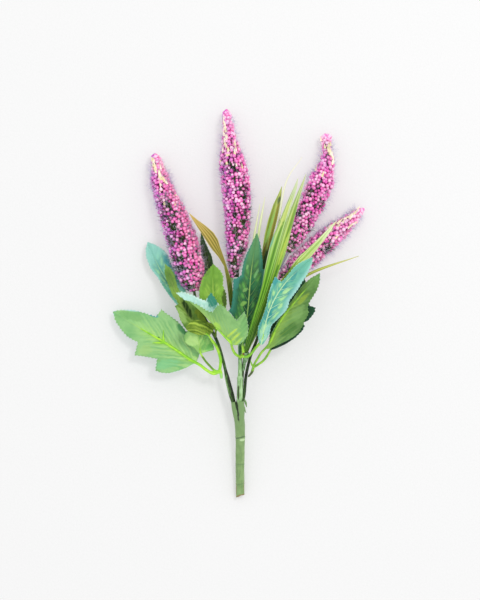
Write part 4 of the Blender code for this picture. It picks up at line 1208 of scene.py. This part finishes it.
# The grass is nine ribbed blades of thin plastic film, whose roots are stacked in an oval socket that stands
# on a branch stem. The long blades pale towards their tips, and two of them are coloured olive and gold.
socket_green = Finish("socket_green", 0.5)
ribs = socket_green.noise(socket_green.here(), 1.5, 2)
socket_green.colour(socket_green.mix(socket_green.steps(ribs, 0.4, 0.6), "5C8450", "86A87C"))
socket_green.relief(ribs, 0.15)
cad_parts["grass_socket"].material_slots[0].material = socket_green.material

ROOTS_ALONG = -45.8
LEFT_COLUMN = 4.15
RIGHT_COLUMN = 5.55
FIRST_LAYER = 21.2
LAYER = 0.8
BLADE = 0.25
BLADE_COLUMNS = 36
RIDGE = 0.22
CUPPED = 0.4
BLADE_ROWS = 90


def root(column, layer):
    return (column, ROOTS_ALONG, FIRST_LAYER + layer * LAYER)


# Each blade: places from root to tip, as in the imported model, its two edges as they look on the photograph
# or half its width, how many ridges it has, and its colours from root to tip and of its grooves and ridges.
GRASS = {
    "left": dict(
        places=[root(LEFT_COLUMN, 0), (-3.5, -18, 23.5), (-10.2, 21.2, 27.5), (-23, 50, 28.0),
                (-43.4, 74, 27.5)],
        left=[(233, 318), (229.5, 305), (228, 292), (226.3, 279), (224, 266), (218.5, 257), (211.5, 249),
              (205, 239), (198, 228), (192, 218.5)],
        right=[(237, 318), (233.5, 305), (232.7, 292), (230.7, 279), (227.3, 268), (224.8, 260), (220.5, 248),
               (218, 239.5), (213.5, 232.5), (206, 226), (197, 219.5)],
        ridges=4, colours=("2C480C", "52701A", "A08C2C", "D0B464"), line="4C5412", light="8A9030",
    ),
    "thread_left": dict(
        places=[root(LEFT_COLUMN, 1), (6.5, -10, 25.5), (11.0, 45, 29.0), (17.0, 81.6, 28.0)],
        half=[(0, 0.5), (0.5, 1.0), (0.8, 1.0), (1, 0.2)],
        ridges=1, colours=("3F6A18", "7C9C44", "D4DCA8", "E4E8C4"), line="A8B878", light="9CBC54",
    ),
    "thread_middle": dict(
        places=[root(LEFT_COLUMN, 2), (8.6, -10, 26.8), (15.0, 50, 31.0), (21.2, 87.5, 30.0)],
        half=[(0, 0.5), (0.5, 1.1), (0.85, 1.0), (1, 0.2)],
        ridges=1, colours=("3F6A18", "7C9C44", "CCD898", "E4E8C4"), line="A8B878", light="9CBC54",
    ),
    "olive": dict(
        places=[root(LEFT_COLUMN, 3), (11.5, -12, 28.0), (22.0, 38, 33.5), (28.6, 70, 35.0),
                (35.7, 96.9, 34.0)],
        left=[(246, 335), (252, 305), (258, 280), (261.5, 262), (262.2, 250), (264.5, 235), (268, 220),
              (273, 205), (278.3, 194)],
        right=[(252, 330), (259, 305), (264, 285), (268.5, 268), (270, 256), (271, 245), (274, 232),
               (277.2, 220), (280, 205), (281.5, 194)],
        ridges=2, colours=("1C3408", "3A5C10", "90A838", "B8C86C"), line="5C6A18", light="7CA040",
        side="A08A2C",
        # The dark green oval low on its right half is painted shade between it and the broad left blade.
        marks=[(264.5, 248, 12, 1.6, 78, "6C5C20", 0.85), (266.8, 258, 14, 3.6, 76, "0C3410", 0.95),
               (270, 228, 20, 1.6, 73, "86B858", 0.8), (279, 200, 5, 1.6, 70, "44603C", 0.8),
               (278.6, 222, 14, 1.0, 75, "D0B884", 0.7)],
    ),
    "broad_left": dict(
        places=[root(LEFT_COLUMN, 4), (8.8, -29, 38.0), (19.6, 3, 47.0), (31.4, 42, 48.0),
                (49.3, 103.7, 39.0)],
        left=[(245, 345), (247, 335), (250, 325), (254, 312), (258, 300), (262, 285), (264.5, 270),
              (267, 258), (270, 245), (273.5, 235), (278, 225), (283, 212), (288, 200), (294, 187)],
        right=[(249.5, 345), (252, 337), (255, 326), (259.5, 313), (263.5, 302), (268, 290), (272, 275),
               (275.5, 262), (278.5, 250), (282, 238), (286, 225), (290, 211), (294, 198), (297.3, 186)],
        ridges=3, colours=("26560A", "66A41A", "92B84C", "D4DEB4"), line="3A7012", light="90C440",
        # The teal oval by its left edge is a painted reflection.
        marks=[(271.5, 241, 9, 2.0, 73, "5CA48C", 0.75), (286, 212, 20, 2.2, 68, "C4D070", 0.7),
               (292, 205, 18, 2.0, 70, "D0D8B8", 0.7), (254, 318, 22, 0.9, 73, "78B834", 0.8)],
    ),
    "thread_right": dict(
        places=[root(RIGHT_COLUMN, 2), (15.0, -12, 30.5), (30.0, 50, 41.0), (38.5, 98, 36.0),
                (52.7, 121.5, 32.0)],
        half=[(0, 0.5), (0.5, 0.8), (0.8, 0.7), (1, 0.15)],
        ridges=1, colours=("4C7A1C", "A4B474", "E0E4C0", "EAE8D0"), line="C0C89C", light="C8D090",
    ),
    "low_right": dict(
        places=[root(RIGHT_COLUMN, 0), (21.0, -13, 26.6), (42.0, 9.5, 34.0), (62, 23.6, 33.0),
                (101.1, 37.4, 27.0)],
        half=[(0, 0.5), (0.5, 1.2), (0.75, 1.1), (1, 0.15)],
        ridges=1, colours=("4C7A14", "7C9A1C", "A8B030", "CCCC80"), line="7C8A1C", light="98A82C",
    ),
    "crossing": dict(
        places=[root(RIGHT_COLUMN, 1), (17.0, -12, 28.5), (35.0, 17, 39.0), (58.5, 42.5, 35.0),
                (80.8, 66.3, 28.0)],
        left=[(255, 325), (266, 300), (275, 288), (282.5, 280), (287.3, 272.8), (292.3, 265), (299, 256.5),
              (307, 249.5), (316, 241), (325, 232)],
        right=[(262, 325), (274, 302), (283, 289), (287.5, 282), (292, 274), (299, 267), (307, 260.5),
               (312.5, 255), (318, 248), (325, 239), (331.5, 230)],
        ridges=3, colours=("5C8C18", "94C038", "C0D674", "DCE8BC"), line="7CA434", light="B4D868",
        marks=[(288.5, 272.5, 16, 1.5, 52, "6C8C18", 0.9), (314, 247, 16, 1.4, 45, "8CB858", 0.7)],
    ),
    "broad_right": dict(
        places=[root(RIGHT_COLUMN, 3), (14.2, -27, 36.8), (26.2, 5, 44.5), (39.6, 46, 45.5),
                (56.1, 107.1, 37.0)],
        left=[(247, 345), (251, 337), (254, 326), (258.5, 313), (262.5, 302), (267, 290), (271, 275),
              (274.5, 262), (277.5, 250), (281, 238), (285, 225), (290, 211), (295, 198.5), (299.5, 188)],
        right=[(252, 343), (256, 335), (259, 325), (263.5, 312), (268, 300), (272.5, 288), (277, 275),
               (281, 265), (285, 255), (289, 240), (292.3, 225), (296, 210), (300, 197), (303.5, 184)],
        ridges=3, colours=("26560A", "6EA61C", "A4C048", "CCD8A0"), line="3A7012", light="A0C444",
        # The near-white line along its right edge is a painted highlight.
        marks=[(294, 216, 22, 1.0, 75, "5C8C2C", 0.7), (287.5, 254, 34, 0.9, 71, "E4F0D8", 0.85),
               (283, 250, 22, 1.2, 72, "BCD050", 0.7), (257, 318, 20, 0.9, 73, "4C8A14", 0.8)],
    ),
}


def blade_mesh(blade):
    spine = Spine([place(*p) for p in blade["places"]])
    edges = [edge_knots(spine, blade[side], (0.12, 0.12), 0) for side in ("left", "right") if side in blade]
    mesh = bmesh.new()
    bmesh.ops.create_grid(mesh, x_segments=BLADE_ROWS, y_segments=BLADE_COLUMNS, size=1)
    layer = mesh.verts.layers.float_vector.new("blade")
    for vertex in mesh.verts:
        share = (vertex.co.x + 1) / 2
        over = vertex.co.y
        centre, _, side, front = spine.frame(share)
        if edges:
            edge, _ = read_edge(edges[0] if over < 0 else edges[1], share)
            way = edge - centre
        else:
            way = side * (1 if over > 0 else -1) * between(blade["half"], share) * MM
        ridge = RIDGE * cos(over * blade["ridges"] * pi) * min(way.length / MM / 2, 1) * (1 - abs(over) ** 6)
        vertex.co = centre + way * abs(over) + front * (ridge + CUPPED * abs(over) * min(way.length / MM / 3,
            1)) * MM
        vertex[layer] = (over, share, way.length / MM)
    bmesh.ops.reverse_faces(mesh, faces=mesh.faces)
    bmesh.ops.remove_doubles(mesh, verts=mesh.verts, dist=1e-5)
    return mesh


def grass_film(name, blade):
    finish = Finish("grass_film_" + name, 0.5, Specular_IOR_Level=0.35)
    where, over, share, _ = finish.read("blade")
    stretch = finish.add("ShaderNodeMapping", where)
    stretch.inputs["Scale"].default_value = (3, 2.0, 0)
    streaks = finish.noise(stretch.outputs[0], 1000, 3)
    root_tone, low, high, tip = blade["colours"]
    line = blade["line"]
    colour = finish.mix(finish.steps(share, 0.12, 0.42), root_tone, low)
    colour = finish.mix(finish.steps(share, 0.45, 0.78), colour, high)
    colour = finish.mix(finish.steps(share, 0.74, 1.0), colour, tip)
    if "side" in blade:
        right = finish.times(finish.steps(over, -0.1, 0.2), finish.steps(share, 0.4, 0.6, 0, 0.85))
        colour = finish.mix(finish.times(right, finish.steps(share, 0.8, 1, 1, 0.3)), colour, blade["side"])
    waves = finish.maths("COSINE", finish.times(over, pi * blade["ridges"]))
    groove = finish.steps(waves, -1, 0.2, 0.85, 0)
    colour = finish.mix(finish.times(groove, finish.steps(share, 0.6, 1.0, 1, 0.35)), colour, line)
    light = finish.mix(finish.steps(share, 0.4, 0.85), blade["light"], tip)
    raised = finish.times(finish.steps(waves, 0.3, 1, 0, 0.6), finish.steps(share, 0.1, 0.35, 0.7, 1))
    colour = finish.mix(raised, colour, light)
    rim = finish.times(finish.steps(finish.maths("ABSOLUTE", over), 0.8, 1, 0, 0.6),
                       finish.steps(share, 0.3, 0.6))
    colour = finish.mix(rim, colour, tip)
    colour = finish.mix(finish.steps(streaks, 0.5, 0.7, 0, 0.5), colour, line)
    for values in blade.get("marks", []):
        colour = finish.dab(colour, blade["places"][3][2], *values)
    finish.colour(colour)
    finish.relief(streaks, 0.12)
    return finish.material


for name, blade in GRASS.items():
    film = grass_film(name, blade)
    piece = make_object("ribbed_blade_" + name, blade_mesh(blade), [film], smooth_angle=0)
    wall = piece.modifiers.new("film", "SOLIDIFY")
    wall.thickness = BLADE * MM
    wall.offset = 0
    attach(piece, "root")
    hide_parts("grass_blade_" + name)
